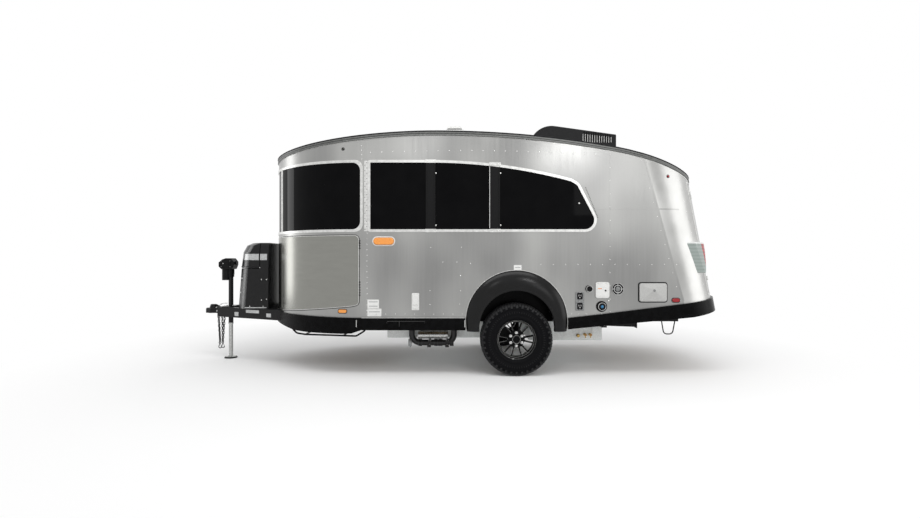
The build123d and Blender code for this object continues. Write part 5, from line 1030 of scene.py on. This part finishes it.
# ---- Roof fittings ----
# The air conditioner stands under a dark moulded hood, with bright condenser fins behind its louvres. The
# roof vent has a white moulded base, a crank and a hinged lid.
# dark ASA: a soft charcoal that keeps its form against the sky
hood_asa = finish("asa_moulded_dark_grey", "#131314", "#1D1D1E", (0.34, 0.44), 10.0, 0.1, 0.0, 0.12)
dress(hood_asa, "air_conditioner")
hood_skin = skin_of("air_conditioner")
FIN_X, FIN_PITCH, FINS, FIN_FOOT = 1.626, 0.028, 13, 2.640
FIN_TOP, FIN_TOP_X, FIN_FALL = 2.742, 1.640, 0.12
fins, hood_screws = [], []
for side in (-1, 1):
    for x in [FIN_X + FIN_PITCH * count for count in range(FINS)]:
        top = FIN_TOP - FIN_FALL * (x - FIN_TOP_X)
        fins.append(tube(middles([on_side(x, z, side, hood_skin) for z in (FIN_FOOT, top)]), 3.5, 6))
    hood_screws += rivets([on_side(x, 2.560, side, hood_skin) for x in (1.08, 1.40, 1.70, 1.96)], 1.2)
piece("air_conditioner_fins", fins, frame_aluminium)
piece("air_conditioner_screws", hood_screws, bright_aluminium)
VENT_X, LID_X = 0.092, 0.086
lid_skin = skin_of("vent_lid")
rib_line = spaced(VENT_X - 0.09, VENT_X + 0.09, 0.03)
ribs = [ribbon([laid(lid_skin, (x, y, 4), (0, 0, -1)) for x in rib_line], 16, 4) for y in (-0.06, 0.06)]
piece("vent_lid_ribs", ribs, asa_white, "vent_lid")
lid = standing(LID_X, 0)
piece("vent_lid_crest", [plate(lid, 196, 196, 30, 2852, 2872, 6, 6)], hood_asa, "vent_lid")
piece("vent_lid_dome", [plate(lid, 180, 180, 30, 2871, 2903, 16, 6)], asa_white, "vent_lid")
base_skin = skin_of("vent_base", "roof")
piece("vent_base_screws", rivets([on_side(VENT_X + shift, 2.730, side, base_skin) for side in (-1, 1)
                                  for shift in (-0.15, 0.0, 0.15)], 1.1), bright_aluminium)

# ---- Entry door ----
# The door is a bonded leaf in the wall's own sheet, with a bright jamb frame on the wall round it, three
# hinges on its front edge, and a black moulded handle with its key lock. A grab rail stands beside it.
DOOR_FRONT, DOOR_REAR, DOOR_LOW, DOOR_HIGH = -0.800, -0.120, 0.706, 2.380
JAMB, JAMB_GROWTH, JAMB_CORNER = 26, 0.042, 0.074
middle_x, middle_z = (DOOR_FRONT + DOOR_REAR) / 2, (DOOR_LOW + DOOR_HIGH) / 2
around = rounded(DOOR_REAR - DOOR_FRONT + JAMB_GROWTH, DOOR_HIGH - DOOR_LOW + JAMB_GROWTH, JAMB_CORNER, 6)
jamb = [(middle_x + x, middle_z + y) for x, y in around]


def divided(line, step):
    """Points about a step apart round a closed line."""
    dense = []
    for (x, y), (next_x, next_y) in zip(line, line[1:] + line[:1]):
        parts = max(1, round(hypot(next_x - x, next_y - y) / step))
        dense += [(x + (next_x - x) * part / parts, y + (next_y - y) * part / parts) for part in range(parts)]
    return dense


jamb_places = [on_side(x, z, 1) for x, z in divided(jamb, 0.08)]
piece("door_jamb_frame", [ribbon(jamb_places, JAMB, 3.5, True)], frame_aluminium)
piece("door_jamb_rivets", rivets(jamb_places[::2], 0.8), bright_aluminium)


def pin(place, radius, low, high, sides):
    """A short closed rod between two heights, in mm."""
    return lathe(place, [(0, low), (radius, low), (radius, high), (0, high)], sides)


hinge_leaf, hinge_wall = [], []
for z in (0.960, 1.500, 2.120):
    knuckles = standing(DOOR_FRONT - 0.003, 1.021, z)
    hinge_wall += [pin(knuckles, 8, -45, -15, 14), pin(knuckles, 8, 15, 45, 14)]
    hinge_leaf += [pin(knuckles, 8, -14, 14, 14),
                   plate(on_side(DOOR_FRONT + 0.024, z, 1), 36, 85, 6, -2, 4, 1)]
piece("door_hinges_leaf", hinge_leaf, frame_aluminium, "entry_door")
piece("door_hinges_wall", hinge_wall, frame_aluminium)
key = facing_out(-0.190, 1.264, 1, 1.023)
piece("door_lock", [lathe(key, [(11, -2), (11, 4), (8, 5), (0, 5)], 20)], bright_aluminium,
      "entry_door")
grab = [on_side(0.020, z, 1) for z in (1.020, 1.480)]
low, top = middles(grab)
rail = [low] + [low + Vector((0, out, up)) for out, up in ((0.035, 0.004), (0.050, 0.022))]
rail += [top + Vector((0, out, up)) for out, up in ((0.050, -0.022), (0.035, -0.004))] + [top]
piece("door_grab_rail", [tube(rail, 11, 14)] + [plate(found, 42, 60, 14, -1, 8, 4) for found in grab],
      black_abs)

# ---- Rear hatch ----
# The hatch is framed in the skin's own sheet and closes on a black bulb seal. Two hinges carry it under the
# roof, and a lever handle with its key lock stands low on its middle. Its number plate panel is blank.
HATCH_LOW, HATCH_HIGH, HATCH_HALF_LOW, HATCH_HALF_HIGH, SEAL_OUT = 0.870, 2.085, 0.840, 0.775, 0.016
hatch_line = [(-HATCH_HALF_LOW, HATCH_LOW), (HATCH_HALF_LOW, HATCH_LOW), (HATCH_HALF_HIGH, HATCH_HIGH),
              (-HATCH_HALF_HIGH, HATCH_HIGH)]
seal_places = []
for y, z in divided(hatch_line, 0.05):
    grow = Vector((y, z - (HATCH_LOW + HATCH_HIGH) / 2)).normalized() * SEAL_OUT
    seal_places.append(on_rear(y + grow.x, z + grow.y))
piece("hatch_jamb_frame", [ribbon(seal_places, 18, 3.5, True)], frame_aluminium)
HINGE_Y, STRUT_Y = 0.420, 0.752
hatch_bits, hatch_fixed = [], []
for side in (-1, 1):
    found = on_rear(side * HINGE_Y, HATCH_HIGH - 0.045)
    hatch_bits.append(plate(found, 80, 60, 8, -2, 6, 2))
    hatch_bits += rivets([shifted(found, shift, 0, 6) for shift in (-26, 26)], 0.9)
    hatch_fixed.append(plate(on_rear(side * HINGE_Y, HATCH_HIGH + 0.034), 80, 44, 8, -2, 6, 2))
    hatch_bits += [plate(on_rear(side * STRUT_Y, z), 22, high, 5, -2, 12, 3)
                   for z, high in ((1.965, 100), (1.035, 54))]
handle = on_rear(0.0, 0.990)
hatch_bits += [lathe(shifted(handle, 70), [(10, 9), (10, 14), (0, 15)], 18),
               plate(on_rear(-0.420, 1.120), 320, 170, 10, -2, 3, 1)]
hatch_black = [plate(handle, 190, 70, 20, -2, 10, 4), plate(shifted(handle, -20), 110, 22, 8, 8, 24, 5),
               plate(on_rear(-0.420, 1.222), 100, 22, 6, -2, 18, 4)]
piece("hatch_bright_parts", hatch_bits, frame_aluminium, "rear_hatch")
piece("hatch_black_parts", hatch_black, black_abs, "rear_hatch")
piece("hatch_hinges_fixed", hatch_fixed, frame_aluminium)

# ---- Floor, tanks and pipes ----
# Under the plywood floor hang two moulded polyethylene tanks. Their drain ends in a black pipe with two gate
# valves and a grey cap, beside a galvanised storage tube.
# oiled birch: a brown grain drawn out along the caravan
plywood = finish("birch_plywood_oiled", "#6B5A42", "#8C7756", (0.50, 0.65), 40.0, 0.3, 0.0, 0.4, (0.2, 1, 1))
dress(plywood, "floor")
# natural polyethylene: a milky grey with a waxy surface
tank_pe = finish("polyethylene_rotomoulded_grey", "#DDE0DF", "#EDF0EF", (0.40, 0.52), 16.0, 0.3)
dress(tank_pe, "tanks")
# extruded pipe: black with one long highlight
pipe_abs = finish("abs_extruded_black", "#0F0F10", "#1B1B1C", (0.28, 0.40), 12.0, 0.1, 0.0, 0.4)
dress(pipe_abs, "waste_pipe")
dress(zinc_plate, "drain_tube")
# raw brass: a warm yellow spot under the tanks
brass = finish("brass_cast_raw", "#A08650", "#C6A96A", (0.25, 0.38), 8.0, 0.1, 1.0)
# moulded PVC: a flat cool grey
grey_pvc = finish("pvc_moulded_grey", "#8D8F90", "#A2A4A5", (0.34, 0.44), 12.0, 0.1)
WASTE_Y, WASTE_Z, LEVER_Z = -0.612, 0.292, 0.278


def along_x(y, z):
    """A place whose local Z runs along the caravan, from its origin to the rear."""
    return Matrix(((0, 0, 1, 0), (0, 1, 0, y), (-1, 0, 0, z), (0, 0, 0, 1)))


def collar(place, middle, inner, outer, half, chamfer, sides):
    """A band round a pipe, chamfered at both ends."""
    return lathe(place, [(inner, middle - half), (outer, middle - half + chamfer),
                         (outer, middle + half - chamfer), (inner, middle + half)], sides)


waste = along_x(WASTE_Y, WASTE_Z)
collars = [collar(waste, x, 34, 41, 22, 2, 28) for x in (-300, -120, 60)]
valve_bits = []
for x in (-0.190, 0.010):
    valve_bits += [pin(shifted(waste, across, up, x / MM - 14), 6, 0, 28, 6)
                   for across, up in arc(0, 0, 34, 45, 315, 3)]
    valve_bits.append(tube([(x, WASTE_Y - 0.040, LEVER_Z), (x, WASTE_Y - 0.165, LEVER_Z)], 4.5, 10))
    collars.append(plate(facing_out(x, LEVER_Z, -1, -WASTE_Y), 44, 26, 8, 160, 176, 4))
cap_bits = [lathe(waste, [(0, -434), (38, -434), (43, -428), (43, -398), (34, -398)], 30)]
cap_bits += [plate(shifted(turned(waste, angle, 46), 0, 0, -414), 14, 18, 4, -8, 8, 2) for angle in (0, 180)]
piece("waste_pipe_collars", collars, pipe_abs)
piece("waste_valve_bolts", valve_bits, zinc_plate)
piece("waste_pipe_cap", cap_bits, grey_pvc)

tank_skin = skin_of("tanks")
tank_ribs = [ribbon([on_side(x, z, side, tank_skin) for z in spaced(0.35, 0.46, 0.03)], 30, 6)
             for x in spaced(1.06, 1.70, 0.16) + spaced(-0.59, 0.33, 0.184) for side in (-1, 1)]
tap_section = [(16, -2), (16, 12), (11, 14), (11, 34), (15, 36), (15, 50), (0, 50)]
brass_bits, levers = [], []
for x in (1.600, 1.660):
    tap = on_side(x, 0.372, -1, tank_skin)
    spout = [shifted(tap, 0, down, 42).translation for down in (0, -34)]
    brass_bits += [lathe(tap, tap_section, 16), tube(spout, 6, 10)]
    levers.append(plate(tap, 26, 10, 4, 48, 56, 2))
knob = on_side(1.522, 0.359, -1, tank_skin)
brass_bits.append(lathe(knob, [(20, -2), (20, 16), (14, 20), (14, 32), (0, 34)], 20))
piece("tank_ribs", tank_ribs, tank_pe)
piece("tank_taps", brass_bits, brass)
piece("tank_tap_levers", levers, red_acrylic)
low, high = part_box("drain_tube")
drain = along_x((low[1] + high[1]) / 2, (low[2] + high[2]) / 2)
piece("drain_tube_bands", [collar(drain, x, 42, 44.5, 10, 1, 36) for x in (-290, -155, -20)], dipped_steel)

# ---- Step and stabilisers ----
# The step slides out under the door, and the stabilisers fold down behind it: both are welded steel, dipped
# in the chassis paint. Strips of grit tape cover the tread, and the stabilisers turn on plated pins.
dress(dipped_steel, "step", "stabiliser_street", "stabiliser_kerb")
# grit tape: a rough black that takes no highlight
grit = finish("grit_tape_black", "#161616", "#2B2B2B", (0.80, 0.95), 3.0, 0.5, 0.0, 0.3)
strips = [plate(standing(-0.460, y, 0.464), 470, 30, 6, -1, 1.2) for y in (0.745, 0.802, 0.858, 0.915)]
piece("step_grit_strips", strips, grit, "entry_step")
PIN_X, PIN_Y, PIN_Z = 1.790, 0.640, 0.500
piece("stabiliser_pin_heads", [pin(facing_out(PIN_X, PIN_Z, side, PIN_Y), 13, low, low + 12, 6)
                               for side in (-1, 1) for low in (30, -42)], zinc_plate)
